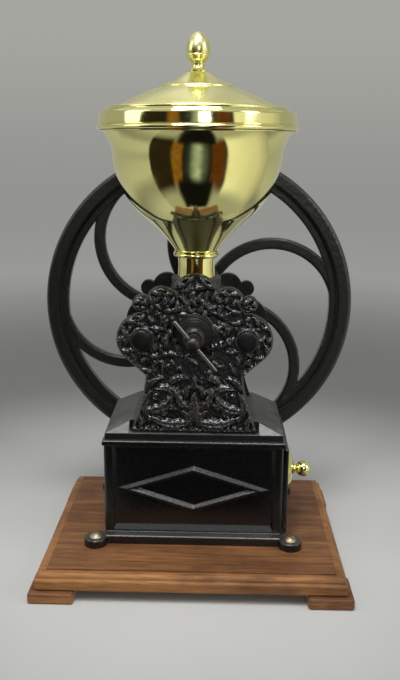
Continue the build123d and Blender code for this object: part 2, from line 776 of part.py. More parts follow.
def make_mill_body():
    """Roof, column, burr drum, bolt pillars, hopper socket and rear plate in one casting."""
    foot_z = housing_top + roof_rise - overlap
    waist_z = axle_z - plate_waist_drop
    flare = (column_half + (column_foot_half - column_half) * column_foot_flare, (foot_z + waist_z) / 2)
    half = make_face(Line((0, foot_z), (column_foot_half, foot_z))
                     + ThreePointArc((column_foot_half, foot_z), flare, (column_half, waist_z))
                     + Polyline((column_half, waist_z), (column_half, axle_z), (0, axle_z), (0, foot_z)))
    body = make_roof() + prism_y(mirrored(half), plate_back, rear_plate_back)
    body += prism_y(plate_outline(), rear_plate, rear_plate_back)
    body += rod_y(drum_radius, plate_back, rear_plate)
    body += rod_y(rear_boss_radius, rear_plate, rear_boss_back)
    for x in (-bolt_half_spacing, bolt_half_spacing):
        body += rod_y(pillar_radius, plate_back, rear_plate, x, bolt_z)
        body += block(min(x, 0), max(x, 0), plate_back, rear_plate, bolt_z - pillar_web_half,
                      bolt_z + pillar_web_half)
    body += rod_z(neck_radius + socket_wall, axle_z, socket_top, 0, hopper_y)
    body -= rod_z(neck_radius + fit, socket_top - socket_depth, socket_top, 0, hopper_y)
    body -= rod_z(throat_radius, axle_z, socket_top, 0, hopper_y)
    body -= rod_y(burr_ring_radius + fit, plate_back, burr_back)
    body -= rod_y(feed_radius, burr_back - overlap, chamber_back)
    body -= rod_y(shaft_radius + bush_wall + fit, chamber_back - overlap, rear_boss_back)
    chute_half = column_half - column_wall
    body -= block(-chute_half, chute_half, plate_back, chute_back, housing_top, axle_z)
    body -= block(-chute_half, chute_half, chute_back + column_wall, rear_plate, housing_top,
                  axle_z - feed_radius - column_wall)
    inner = housing_half - roof_shell - housing_wall - inner_lug
    body -= block(-inner, inner, plate_back, housing_back - housing_wall - inner_lug, housing_top,
                  housing_top + roof_rise - roof_shell)
    for x, y in body_screw_places:
        body -= rod_z(body_screw_shank + fit, housing_top, housing_top + body_screw_grip + fit, x, y)
    for x in (-bolt_half_spacing, bolt_half_spacing):
        body -= bolt_hole(x, cover_bolt_shank, plate_back + cover_bolt_grip + fit)
    for angle in (-set_screw_angle, set_screw_angle):
        body -= set_screw_turn(angle) * rod_z(set_screw_radius + fit, axle_z + burr_ring_radius - overlap,
                                              axle_z + drum_radius + pillar_radius, 0,
                                              (burr_front + burr_back) / 2)
    body -= neck_screw_hole()
    return body


def neck_screw_hole():
    inside = hopper_y + neck_radius
    outside = inside + socket_wall + overlap
    return rod_y(set_screw_radius + fit, inside, outside, 0, socket_top - socket_depth / 2)


def make_neck_set_screw():
    z = socket_top - socket_depth / 2
    tip = hopper_y + math.sqrt((neck_radius + fit) ** 2 - set_screw_radius ** 2) + set_screw_clear
    back = hopper_y + neck_radius + socket_wall
    screw = rod_y(set_screw_radius, tip, back, 0, z)
    slot = block(-set_screw_radius, set_screw_radius, back - screw_slot_depth, back + overlap,
                 z - set_screw_slot / 2, z + set_screw_slot / 2)
    return screw - slot


# Axle line


def star(root, depth, y, turn):
    """A toothed ring of straight lines at a station on the axle."""
    points = []
    for step in range(2 * burr_teeth):
        radius = root + (depth if step % 2 == 0 else 0.0)
        angle = math.radians(turn) + math.pi * step / burr_teeth
        points.append((radius * math.cos(angle), y, axle_z + radius * math.sin(angle)))
    return make_face(Polyline(*points, close=True))


def keyway(extra, y0, y1):
    """The key that drives the burr and the worm, or the slot that it needs."""
    half = key_width / 2 + extra
    return block(-half, half, y0, y1, axle_z + shaft_radius - key_depth - extra,
                 axle_z + shaft_radius + key_depth + extra)


def make_inner_burr():
    cone = loft([star(burr_front_radius - burr_tooth, burr_tooth, burr_front, 0),
                 star(burr_back_radius - burr_tooth, burr_tooth, burr_back, burr_twist)], ruled=True)
    return cone - rod_y(shaft_radius + fit, burr_front, burr_back) - keyway(fit, burr_front, burr_back)


def make_outer_burr():
    ring = rod_y(burr_ring_radius, burr_front + burr_ring_setback, burr_back)
    hole = loft([star(burr_front_radius + burr_gap, burr_tooth, burr_front, 0),
                 star(burr_back_radius + burr_gap, burr_tooth, burr_back, burr_twist)], ruled=True)
    return ring - hole


def make_feed_worm():
    """A hub with slanted vanes that push the beans towards the burr."""
    worm = rod_y(worm_hub, worm_front, worm_back)
    half = worm_vane / 2

    def section(y, turn):
        root = worm_hub - overlap
        corners = ((-half, root), (half, root), (half, worm_radius), (-half, worm_radius))
        c = math.cos(math.radians(turn))
        s = math.sin(math.radians(turn))
        points = [(u * c + v * s, y, axle_z - u * s + v * c) for u, v in corners]
        return make_face(Polyline(*points, close=True))

    for vane in range(worm_vanes):
        turn = 360 / worm_vanes * vane
        worm += loft([section(worm_front, turn), section(worm_back, turn + worm_twist)], ruled=True)
    return worm - rod_y(shaft_radius + fit, worm_front, worm_back) - keyway(fit, worm_front, worm_back)


def make_burr_key():
    return keyway(0, burr_front + fit, worm_back - fit)


def wheel_key_block(extra):
    half = key_width / 2 + extra
    middle = axle_z + wheel_seat_radius
    return block(-half, half, hub_front + axial_room - extra, hub_end - axial_room + extra,
                 middle - key_depth - extra, middle + key_depth + extra)


def make_main_shaft():
    shaft = rod_y(shaft_front_radius, pad_back, burr_front)
    shaft += rod_y(shaft_radius, burr_front, hub_front)
    shaft += rod_y(wheel_seat_radius, hub_front, hub_end)
    shaft += rod_y(shaft_thread_radius, hub_end, nut_front + wheel_nut_height + nut_room)
    return shaft - keyway(fit, burr_front, worm_back) - wheel_key_block(fit)


def bush(bore, y0, y1, flange_y0, flange_y1):
    """A plain bearing bush with a flange."""
    outside = bore + bush_wall
    sleeve = rod_y(outside, y0, y1) + rod_y(outside + bush_flange_proud, flange_y0, flange_y1)
    return sleeve - rod_y(bore + fit, min(y0, flange_y0), max(y1, flange_y1))


def make_front_bush():
    return bush(shaft_front_radius, spigot_end + fit, plate_back, plate_back, plate_back + bush_flange)


def make_rear_bush():
    return bush(shaft_radius, chamber_back, rear_boss_back, rear_boss_back, rear_boss_back + bush_flange)


def make_adjuster_gland():
    """A domed bush in the cover's boss that the adjusting screw runs in."""
    outline = (Polyline((screw_radius + fit, spigot_end), (gland_spigot_radius, spigot_end),
                        (gland_spigot_radius, boss_front), (gland_radius, boss_front),
                        (gland_radius, gland_front + gland_nose_length))
               + ThreePointArc((gland_radius, gland_front + gland_nose_length),
                               (gland_bulge_radius, gland_front + gland_bulge_setback),
                               (gland_nose_radius, gland_front))
               + Polyline((gland_nose_radius, gland_front), (screw_radius + fit, gland_front),
                          (screw_radius + fit, spigot_end)))
    return turned_y(outline)


def make_thrust_pad():
    return rod_y(shaft_front_radius, pad_front, pad_back)


def tommy_place():
    """Puts what lies along X and is centred there into the screw's cross hole."""
    along = math.radians(tommy_angle)
    x = tommy_offset * math.cos(along)
    z = axle_z + tommy_offset * math.sin(along)
    return Pos(x, tommy_y, z) * Rot(0, -tommy_angle, 0)


def make_adjusting_screw():
    dome_foot = screw_tip + screw_dome
    outline = (Polyline((0, pad_front), (screw_radius, pad_front), (screw_radius, screw_head_back),
                        (screw_head_radius, screw_head_back), (screw_head_radius, dome_foot))
               + dome(screw_head_radius, dome_foot, -screw_dome)
               + Line((0, screw_tip), (0, pad_front)))
    return turned_y(outline) - tommy_place() * Rot(0, 90, 0) * Cylinder(tommy_radius + fit, tommy_length)


def make_tommy_bar():
    bar = Rot(0, 90, 0) * Cylinder(tommy_radius, tommy_length)
    bar = fillet(bar.edges().filter_by(GeomType.CIRCLE), tommy_round)
    return tommy_place() * bar


def biarc(p0, t0, p1, t1):
    """Two tangent arcs from one point and direction to another."""
    chord = p1 - p0
    both = t0 + t1
    a = 2 * (1 - t0.dot(t1))
    b = 2 * chord.dot(both)
    reach = (-b + math.sqrt(b * b + 4 * a * chord.dot(chord))) / (2 * a)
    joint = (p0 + t0 * reach + p1 - t1 * reach) * 0.5
    return [Edge.make_tangent_arc(p0, t0, joint), Edge.make_tangent_arc(p1, t1 * -1, joint).reversed()]


def make_thrust_spring():
    """A compression spring round the shaft, between the worm and the chamber's back wall."""
    radius = shaft_radius + spring_play + spring_wire
    y0 = worm_back + spring_wire + touch_gap
    rise = (spring_room - 2 * spring_wire - 2 * touch_gap) / spring_turns

    def point(turns):
        angle = 2 * math.pi * turns
        return Vector(radius * math.cos(angle), y0 + rise * turns, axle_z + radius * math.sin(angle))

    def heading(turns):
        angle = 2 * math.pi * turns
        slope = 2 * math.pi * radius
        return Vector(-slope * math.sin(angle), rise, slope * math.cos(angle)).normalized()

    edges = []
    for quarter in range(4 * spring_turns):
        a = quarter / 4
        b = a + 0.25
        edges += biarc(point(a), heading(a), point(b), heading(b))
    print("thrust spring, gap between turns", round(rise - 2 * spring_wire, 2), "mm")
    path = Wire(edges)
    section = Plane(origin=point(0), z_dir=heading(0)) * Circle(spring_wire)
    return sweep(section, path)


# Flywheel and crank grip


def make_rim():
    """The heavy rim with a stepped inner flange."""
    half = rim_width / 2
    outer = make_face(polygon((rim_step_radius, rim_y - half), (rim_radius, rim_y - half),
                              (rim_radius, rim_y + half), (rim_step_radius, rim_y + half)))
    outer = fillet(outer.vertices(), rim_round)
    half = flange_width / 2
    inner = make_face(polygon((rim_inner_radius, rim_y - half), (rim_step_radius + rim_round, rim_y - half),
                              (rim_step_radius + rim_round, rim_y + half), (rim_inner_radius, rim_y + half)))
    inner = fillet(inner.vertices().group_by(Axis.X)[0], flange_round)
    return Pos(0, 0, axle_z) * revolve(outer + inner, Axis.Y)


def make_spoke(turn):
    """One curved spoke: a band of a circle that runs from the hub into the rim."""
    outer_radius = spoke_inner_radius + spoke_width
    away = rim_inner_radius + spoke_root - spoke_inner_radius
    band = Circle(outer_radius) - Circle(spoke_inner_radius)
    far = outer_radius + overlap
    band &= Pos(0, far / 2) * Rectangle(2 * far, far)
    band = Pos(away, 0) * band
    spoke = prism_y(band, rim_y - spoke_thickness / 2, rim_y + spoke_thickness / 2)
    spoke = fillet(spoke.edges().filter_by(GeomType.CIRCLE), spoke_round)
    spoke &= rod_y(rim_step_radius + rim_round / 2, rim_y - rim_width, rim_y + rim_width, 0, 0)
    return Pos(0, 0, axle_z) * Rot(0, -turn, 0) * spoke


def make_wheel():
    """The whole wheel: rim, hub and spokes, bored for the shaft, its key and the grip's stud."""
    wheel = make_rim()
    hub = rod_y(hub_radius, hub_front, hub_end)
    wheel += fillet(hub.edges(), hub_round)
    for count in range(spoke_count):
        wheel += make_spoke(spoke_angle + 360 / spoke_count * count)
    wheel -= rod_y(wheel_seat_radius + fit, hub_front, hub_end)
    wheel -= wheel_key_block(fit)
    return wheel - rod_y(stud_radius + fit, rim_front, rim_back, 0, grip_z)


def wheel_core(radius):
    """What lies within a radius of the wheel's axis."""
    return rod_y(radius, min(hub_front, rim_front) - overlap, max(hub_end, rim_back) + overlap)


def make_wheel_rim():
    """The rim with the roots of the spokes."""
    return make_wheel() - wheel_core(rim_inner_radius - spoke_stub)


def make_wheel_spokes():
    """The spokes between the roots on the hub and on the rim."""
    return (make_wheel() & wheel_core(rim_inner_radius - spoke_stub)) - wheel_core(hub_radius + spoke_stub)


def make_wheel_hub():
    """The hub with the roots of the spokes."""
    return make_wheel() & wheel_core(hub_radius + spoke_stub)


def make_wheel_key():
    return wheel_key_block(0)


def make_wheel_washer():
    hole = rod_y(shaft_thread_radius + fit, hub_end, nut_front)
    return rod_y(wheel_washer_radius, hub_end, nut_front) - hole


def make_wheel_nut():
    return hex_nut_y(wheel_nut_across, shaft_thread_radius + fit, nut_front, nut_front + wheel_nut_height)


def make_handle_stud():
    stud = rod_y(stud_radius, rim_front + stud_recess, grip_back + touch_gap, 0, grip_z)
    stud += rod_y(stud_shoulder, rim_back, rim_back + stud_shoulder_length, 0, grip_z)
    return stud + rod_y(stud_end_radius, grip_back, stud_end - stud_nut_cap, 0, grip_z)


def make_stud_nut():
    """A domed cap nut that keeps the grip on its stud."""
    face = grip_back + touch_gap
    nut = rod_y(stud_nut_radius, face, stud_end, 0, grip_z)
    nut = fillet(nut.edges().group_by(Axis.Y)[-1], stud_nut_round)
    return nut - rod_y(stud_end_radius + fit, face, stud_end - stud_nut_cap + fit, 0, grip_z)


def make_handle_grip():
    bore = stud_radius + fit
    nose = grip_back - grip_nose
    tip = grip_end_radius - grip_nose_draw
    outline = (Polyline((bore, grip_back), (bore, grip_front), (grip_end_radius, grip_front))
               + ThreePointArc((grip_end_radius, grip_front),
                               (grip_belly_radius, grip_front + grip_length * grip_belly_share),
                               (grip_end_radius, nose))
               + ThreePointArc((grip_end_radius, nose),
                               (tip + grip_nose_draw * eighth, nose + grip_nose * eighth), (tip, grip_back))
               + Line((tip, grip_back), (bore, grip_back)))
    return turned_y(outline, 0, grip_z)


# Hopper and lid


def on_axle(radius, rise):
    """A point of the hopper's profile, with its height given above the axle."""
    return (radius, axle_z + rise)


def walled(curve, side):
    """A closed profile: a curve with the sheet's thickness on one side, as seen along its run."""
    return offset(Wire(curve.edges()), brass_wall, side=side)


def bowl_curve():
    """The outside of the bowl, from its rim down to the end of the funnel."""
    belly_drop = belly_top_rise - belly_foot_rise
    belly_draw = belly_radius - belly_foot_radius
    arc = (belly_drop ** 2 + belly_draw ** 2) / (2 * belly_draw)
    centre = belly_radius - arc
    middle = math.asin(belly_drop / arc) / 2
    under_rim = rim_rise - brass_wall
    flare_drop = under_rim - belly_top_rise
    flare_out = rim_flare_radius - belly_radius
    chord = math.hypot(belly_foot_radius - funnel_foot_radius, belly_foot_rise - funnel_foot_rise)
    mid_r = (belly_foot_radius + funnel_foot_radius) / 2
    mid_rise = (belly_foot_rise + funnel_foot_rise) / 2
    out_r = -(belly_foot_rise - funnel_foot_rise) / chord
    out_rise = (belly_foot_radius - funnel_foot_radius) / chord
    bend = on_axle(belly_radius + flare_out * flare_bow, under_rim - flare_drop * flare_bend)
    return (Line(on_axle(rim_flange_radius, under_rim), on_axle(rim_flare_radius, under_rim))
            + ThreePointArc(on_axle(rim_flare_radius, under_rim), bend, on_axle(belly_radius, belly_top_rise))
            + ThreePointArc(on_axle(belly_radius, belly_top_rise),
                            on_axle(centre + arc * math.cos(middle), belly_top_rise - arc * math.sin(middle)),
                            on_axle(belly_foot_radius, belly_foot_rise))
            + ThreePointArc(on_axle(belly_foot_radius, belly_foot_rise),
                            on_axle(mid_r + out_r * funnel_bow, mid_rise + out_rise * funnel_bow),
                            on_axle(funnel_foot_radius, funnel_foot_rise)))


def make_hopper_bowl():
    return turned_z(walled(bowl_curve(), Side.RIGHT), 0, hopper_y)


def make_hopper_collar():
    """A half round bead over the joint of funnel and neck."""
    inside = neck_radius + fit
    outside = funnel_foot_radius
    top = axle_z + funnel_foot_rise - touch_gap
    low = axle_z + funnel_foot_rise - collar_seat - collar_radius
    outline = (Line((inside, low), (outside, low))
               + ThreePointArc((outside, low), (outside + collar_proud, (low + top) / 2), (outside, top))
               + Polyline((outside, top), (inside, top), (inside, low)))
    return turned_z(outline, 0, hopper_y)


def make_hopper_neck():
    top = axle_z + funnel_foot_rise - touch_gap
    bottom = socket_top - socket_depth
    bore = rod_z(neck_radius - brass_wall, bottom, top, 0, hopper_y)
    return rod_z(neck_radius, bottom, top, 0, hopper_y) - bore


def lid_curve():
    """The outside of the lid, from the skirt's foot up to the crown."""
    def at(radius, rise):
        return (radius, lid_seat + rise)

    skirt_top = lid_skirt_height
    edge_foot = lid_skirt_radius - lid_skirt_taper
    edge_in = edge_foot - lid_edge_width
    edge_top = skirt_top + lid_edge_height
    foot_rise = lid_shoulder_rise + lid_ledge_rise
    return (Line(at(lid_skirt_radius, 0), at(edge_foot, skirt_top))
            + ThreePointArc(at(edge_foot, skirt_top),
                            at(edge_in + lid_edge_width * eighth, skirt_top + lid_edge_height * eighth),
                            at(edge_in, edge_top))
            + Line(at(edge_in, edge_top), at(lid_shoulder_radius, lid_shoulder_rise))
            + Line(at(lid_shoulder_radius, lid_shoulder_rise), at(lid_dome_foot, foot_rise))
            + ThreePointArc(at(lid_dome_foot, foot_rise),
                            at((lid_dome_foot + lid_dome_radius) / 2,
                               (foot_rise + lid_dome_rise) / 2 + lid_dome_bow),
                            at(lid_dome_radius, lid_dome_rise))
            + ThreePointArc(at(lid_dome_radius, lid_dome_rise),
                            at((lid_dome_radius + lid_crown_radius) / 2,
                               (lid_dome_rise + lid_crown_rise) / 2 - lid_cove_bow),
                            at(lid_crown_radius, lid_crown_rise))
            + Line(at(lid_crown_radius, lid_crown_rise), at(finial_stud + fit, lid_crown_rise)))


def make_hopper_lid():
    """A spun lid with a beaded skirt and a spigot that centres it in the bowl."""
    inside = belly_radius - brass_wall
    low = lid_seat - lid_spigot_depth
    high = lid_seat + lid_shoulder_rise - brass_wall / 2
    section = make_face(walled(lid_curve(), Side.LEFT))
    section += make_face(polygon((inside, low), (belly_radius, low), (belly_radius, high), (inside, high)))
    section += Pos(lid_skirt_radius - brass_wall / 2, lid_seat + lid_bead) * Circle(lid_bead)
    return Pos(0, hopper_y, 0) * revolve(Plane.XZ * section, Axis.Z)


def make_lid_finial():
    """A turned acorn on a short neck, with the stud that holds it."""
    z = lid_seat + lid_crown_rise
    base = z + finial_base_height
    neck = z + finial_neck_rise
    cup = z + finial_cup_rise
    band = cup + finial_cup_band
    nut = finial_cup - finial_cup_step
    tip = z + finial_height
    stud = z - brass_wall - nut_height - nut_room
    cove = (finial_base - (finial_base - finial_neck) * eighth, neck - (neck - base) * eighth)
    cup_bow = (finial_cup_bow[0], z + finial_cup_bow[1])
    nut_bow = (finial_nut_bow[0], z + finial_nut_bow[1])
    nut_foot = (nut, band + finial_cup_step)
    outline = (Polyline((0, stud), (finial_stud, stud), (finial_stud, z), (finial_base, z),
                        (finial_base, base))
               + ThreePointArc((finial_base, base), cove, (finial_neck, neck))
               + ThreePointArc((finial_neck, neck), cup_bow, (finial_cup, cup))
               + Polyline((finial_cup, cup), (finial_cup, band), nut_foot)
               + ThreePointArc(nut_foot, nut_bow, (finial_tip, tip))
               + Polyline((finial_tip, tip), (0, tip), (0, stud)))
    return turned_z(outline, 0, hopper_y)


def make_finial_nut():
    z1 = lid_seat + lid_crown_rise - brass_wall
    hexagon = RegularPolygon(nut_across / 2, 6, major_radius=False)
    nut = Pos(0, hopper_y, z1 - nut_height) * extrude(hexagon, nut_height)
    return nut - rod_z(finial_stud + fit, z1 - nut_height, z1, 0, hopper_y)


makers = {
    "base_board": make_base_board,
    "base_feet": make_base_feet,
    "foot_screws": make_foot_screws,
    "drawer_housing": make_drawer_housing,
    "lug_screws": make_lug_screws,
    "drawer_runners": make_drawer_runners,
    "body_screws": make_body_screws,
    "mill_body": make_mill_body,
    "front_plate": make_front_plate,
    "cover_bolts": make_cover_bolts,
    "front_bush": make_front_bush,
    "rear_bush": make_rear_bush,
    "outer_burr": make_outer_burr,
    "burr_set_screws": make_burr_set_screws,
    "adjuster_gland": make_adjuster_gland,
    "hopper_bowl": make_hopper_bowl,
    "hopper_neck": make_hopper_neck,
    "hopper_collar": make_hopper_collar,
    "neck_set_screw": make_neck_set_screw,
    "hopper_lid": make_hopper_lid,
    "lid_finial": make_lid_finial,
    "finial_nut": make_finial_nut,
    "thrust_pad": make_thrust_pad,
    "adjusting_screw": make_adjusting_screw,
    "tommy_bar": make_tommy_bar,
    "main_shaft": make_main_shaft,
    "burr_key": make_burr_key,
    "inner_burr": make_inner_burr,
    "feed_worm": make_feed_worm,
    "thrust_spring": make_thrust_spring,
    "wheel_rim": make_wheel_rim,
    "wheel_spokes": make_wheel_spokes,
    "wheel_hub": make_wheel_hub,
    "wheel_key": make_wheel_key,
    "wheel_washer": make_wheel_washer,
    "wheel_nut": make_wheel_nut,
    "handle_stud": make_handle_stud,
    "stud_nut": make_stud_nut,
    "handle_grip": make_handle_grip,
    "drawer_tray": make_drawer_tray,
    "drawer_front": make_drawer_front,
    "drawer_rivets": make_drawer_rivets,
    "knob_rosette": make_knob_rosette,
    "drawer_knob": make_drawer_knob,
    "knob_nut": make_knob_nut,
}

os.makedirs("parts", exist_ok=True)
to_origin = Pos(0, -middle_y, 0)
for name, make in makers.items():
    made = make()
    pieces = made if isinstance(made, list) else [made]
    solids = [to_origin * solid for piece in pieces for solid in piece.solids()]
    export_step(solids[0] if len(solids) == 1 else Compound(children=solids), f"parts/{name}.step")
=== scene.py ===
import logging
import math
import random
from dataclasses import dataclass, field
from enum import Enum
from typing import Any, Callable, Optional, Sequence, Union

import bmesh
import bpy
import numpy as np
from mathutils import Matrix, Vector


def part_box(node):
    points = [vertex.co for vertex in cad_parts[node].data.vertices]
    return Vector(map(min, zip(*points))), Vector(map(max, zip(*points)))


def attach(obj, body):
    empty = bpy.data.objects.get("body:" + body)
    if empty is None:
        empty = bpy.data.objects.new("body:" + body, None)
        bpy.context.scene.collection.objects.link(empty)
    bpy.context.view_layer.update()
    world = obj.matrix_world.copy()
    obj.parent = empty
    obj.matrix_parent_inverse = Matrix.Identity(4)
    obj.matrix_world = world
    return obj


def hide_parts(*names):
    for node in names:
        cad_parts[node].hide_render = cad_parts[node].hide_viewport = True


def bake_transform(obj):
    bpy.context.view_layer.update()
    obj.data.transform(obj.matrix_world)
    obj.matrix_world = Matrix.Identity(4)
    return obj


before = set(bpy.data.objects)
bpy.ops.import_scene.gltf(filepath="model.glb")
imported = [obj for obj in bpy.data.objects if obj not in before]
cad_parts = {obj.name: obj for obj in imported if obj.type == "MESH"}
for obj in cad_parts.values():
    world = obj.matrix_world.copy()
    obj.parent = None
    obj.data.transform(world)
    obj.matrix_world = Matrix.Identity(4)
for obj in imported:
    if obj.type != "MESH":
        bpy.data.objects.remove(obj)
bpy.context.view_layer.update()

# Sizes below are in millimetres, measured from the middle of the board in Y and from the floor in Z.
MM = 0.001
BOARD_Y = sum(corner.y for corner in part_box("base_board")) / 2
LOG = logging.getLogger("coffee_mill")

Pair = tuple[float, float]
Triple = tuple[float, float, float]
Colour = tuple[float, float, float, float]
Shape = bmesh.types.BMesh
Material = bpy.types.Material

# Places that several sub-assemblies share. Pairs are across and up.
HOPPER_AXIS_Y = 4.0
AXLE: Pair = (0.0, 273.5)
BOLT: Pair = (56.5, 265.0)
ORIGIN: Triple = (0.0, 0.0, 0.0)


def rgb(red: float, green: float, blue: float) -> Colour:
    """Gives a linear colour with full opacity."""
    return (red, green, blue, 1.0)


BLACK = rgb(0.0, 0.0, 0.0)


def placed(x: float, y: float, z: float) -> Vector:
    """Gives a point in the row frame, in metres, for one in board millimetres."""
    return Vector((x * MM, y * MM + BOARD_Y, z * MM))


class Along(Enum):
    """The line that a turned piece is turned about: degrees and axis of the turn that brings Z onto it."""

    X = (90, "Y")
    Y = (-90, "X")
    Z = (0, "Z")

    def turn(self) -> Matrix:
        """Gives that turn."""
        degrees, axis = self.value
        return Matrix.Rotation(math.radians(degrees), 4, axis)


class Body(Enum):
    """The CAD bodies that pieces ride on."""

    FRAME = "frame"
    THRUST = "thrust"
    ADJUSTER = "adjuster"
    GRIP = "grip"
    LID = "lid"
    DRAWER = "drawer"


# Shader graphs


def arithmetic(operation: str, swapped: bool = False) -> Callable[..., "Sock"]:
    """Makes an operator for Sock.

    Args:
        operation: The Math node's operation.
        swapped: True where the socket is the second value.

    Returns:
        The method, which adds one Math node.
    """
    def method(self: "Sock", other: "Value" = 0.0) -> "Sock":
        """Adds the node."""
        first, second = (other, self) if swapped else (self, other)
        return self.graph.node("ShaderNodeMath", {"operation": operation}, {0: first, 1: second})

    return method


class Sock:
    """A shader socket that takes part in Python arithmetic."""

    __add__, __radd__ = arithmetic("ADD"), arithmetic("ADD", swapped=True)
    __sub__, __rsub__ = arithmetic("SUBTRACT"), arithmetic("SUBTRACT", swapped=True)
    __mul__, __rmul__ = arithmetic("MULTIPLY"), arithmetic("MULTIPLY", swapped=True)
    __abs__, most = arithmetic("ABSOLUTE"), arithmetic("MAXIMUM")

    def __init__(self, graph: "Nodes", socket: bpy.types.NodeSocket) -> None:
        """Keeps the graph and the output socket."""
        self.graph = graph
        self.socket = socket

    def between(self, low: float, high: float) -> "Sock":
        """Rises smoothly from 0 where this is low to 1 where it is high."""
        return self.graph.node("ShaderNodeMapRange", {"interpolation_type": "SMOOTHSTEP"},
                               {"Value": self, "From Min": low, "From Max": high})


Value = Union[Sock, float, Sequence[float]]


class Nodes:
    """A tree of shader nodes."""

    def __init__(self, tree: bpy.types.NodeTree) -> None:
        """Keeps the tree."""
        self.tree = tree

    def node(self, kind: str, settings: Optional[dict[str, Any]] = None,
             inputs: Optional[dict[Any, Value]] = None, output: Union[int, str] = 0) -> Sock:
        """Adds any node.

        Args:
            kind: The node's type.
            settings: The node's own settings, set first. "stops" gives a ramp's places and colours.
            inputs: Values or links of its sockets, by name or number.
            output: The socket to return, by name or number.

        Returns:
            One output socket of the new node.
        """
        made = self.tree.nodes.new(kind)
        for key, value in (settings or {}).items():
            if key == "stops":
                ramp = made.color_ramp.elements
                while len(ramp) < len(value):
                    ramp.new(0.5)
                for stop, (at, colour) in zip(ramp, value):
                    stop.position = at
                    stop.color = colour
            else:
                setattr(made, key, value)
        for key, value in (inputs or {}).items():
            self.feed(made.inputs[key], value)
        return Sock(self, made.outputs[output])

    def feed(self, socket: bpy.types.NodeSocket, value: Value) -> None:
        """Links a socket, or sets its value.

        Args:
            socket: The socket to feed.
            value: The socket to link it with, or its value.
        """
        if isinstance(value, Sock):
            self.tree.links.new(value.socket, socket)
        else:
            socket.default_value = value


class Graph(Nodes):
    """One material and the nodes that make it."""

    def __init__(self, name: str) -> None:
        """Starts a material with one Principled shader.

        Args:
            name: The material's name.
        """
        self.material = bpy.data.materials.new(name)
        self.material.use_nodes = True
        super().__init__(self.material.node_tree)
        self.tree.nodes.clear()
        self.shader = self.tree.nodes.new("ShaderNodeBsdfPrincipled")
        out = self.tree.nodes.new("ShaderNodeOutputMaterial")
        self.tree.links.new(self.shader.outputs["BSDF"], out.inputs["Surface"])
        self.place = self.node("ShaderNodeTexCoord", output="Object")

    def stretched(self, x: float, y: float, z: float) -> Sock:
        """Gives Object coordinates with a scale for each axis."""
        return self.node("ShaderNodeMapping", {}, {"Vector": self.place, "Scale": (x, y, z)})

    def noise(self, scale: float, detail: float = 3.0, rough: float = 0.55,
              at: Optional[Sock] = None) -> Sock:
        """Gives a noise pattern of so many features for each metre, or for each unit of at."""
        return self.node("ShaderNodeTexNoise", {}, {"Vector": at or self.place, "Scale": scale,
                                                    "Detail": detail, "Roughness": rough})

    def axis(self, name: str, of: Optional[Sock] = None) -> Sock:
        """Gives one coordinate of a vector, the Object coordinates unless it is given."""
        return self.node("ShaderNodeSeparateXYZ", {}, {"Vector": of or self.place}, name)

    def measure(self, operation: str, *vectors: Sock) -> Sock:
        """Gives a number that a Vector Math node finds, such as a length."""
        return self.node("ShaderNodeVectorMath", {"operation": operation}, dict(enumerate(vectors)), "Value")

    def mix(self, share: Value, first: Value, second: Value) -> Sock:
        """Mixes two colours, with so much of the second."""
        return self.node("ShaderNodeMix", {"data_type": "RGBA", "clamp_factor": True},
                         {0: share, 6: first, 7: second}, 2)

    def soft_edges(self, radius: float) -> Sock:
        """Gives normals that round off sharp edges."""
        return self.node("ShaderNodeBevel", {"samples": 4}, {"Radius": radius * MM})

    def edge_mask(self, rounded: Sock) -> Sock:
        """Gives 1 on edges and 0 on flats, from rounded normals."""
        true = self.node("ShaderNodeNewGeometry", output="True Normal")
        return (1.0 - self.measure("DOT_PRODUCT", rounded, true)).between(0.01, 0.16)

    def facing_up(self) -> Sock:
        """Gives how far the surface faces upwards at rest."""
        return self.axis("Z", self.node("ShaderNodeTexCoord", output="Normal"))

    def bump(self, height: Sock, depth: float, normal: Optional[Sock] = None) -> Sock:
        """Gives a bumped normal.

        Args:
            height: The pattern, from 0 to 1.
            depth: What 1 stands for, in millimetres.
            normal: A normal to start from.

        Returns:
            The normal.
        """
        inputs: dict[Any, Value] = {"Height": height, "Distance": depth * MM, "Strength": 1.0}
        if normal is not None:
            inputs["Normal"] = normal
        return self.node("ShaderNodeBump", {}, inputs)

    def finish(self, **sockets: Value) -> None:
        """Feeds the shader's sockets, named with _ for a space."""
        for name, value in sockets.items():
            self.feed(self.shader.inputs[name.replace("_", " ")], value)


@dataclass(frozen=True)
class Finish:
    """What a surface is made of. Each finish makes its material once."""

    name: str

    def shade(self, graph: Graph) -> None:
        """Makes the nodes."""
        raise NotImplementedError

    def material(self) -> Material:
        """Gives the material, made on first use.

        Returns:
            The material.
        """
        name = self.name + "_finish"
        if name not in bpy.data.materials:
            self.shade(Graph(name))
        return bpy.data.materials[name]


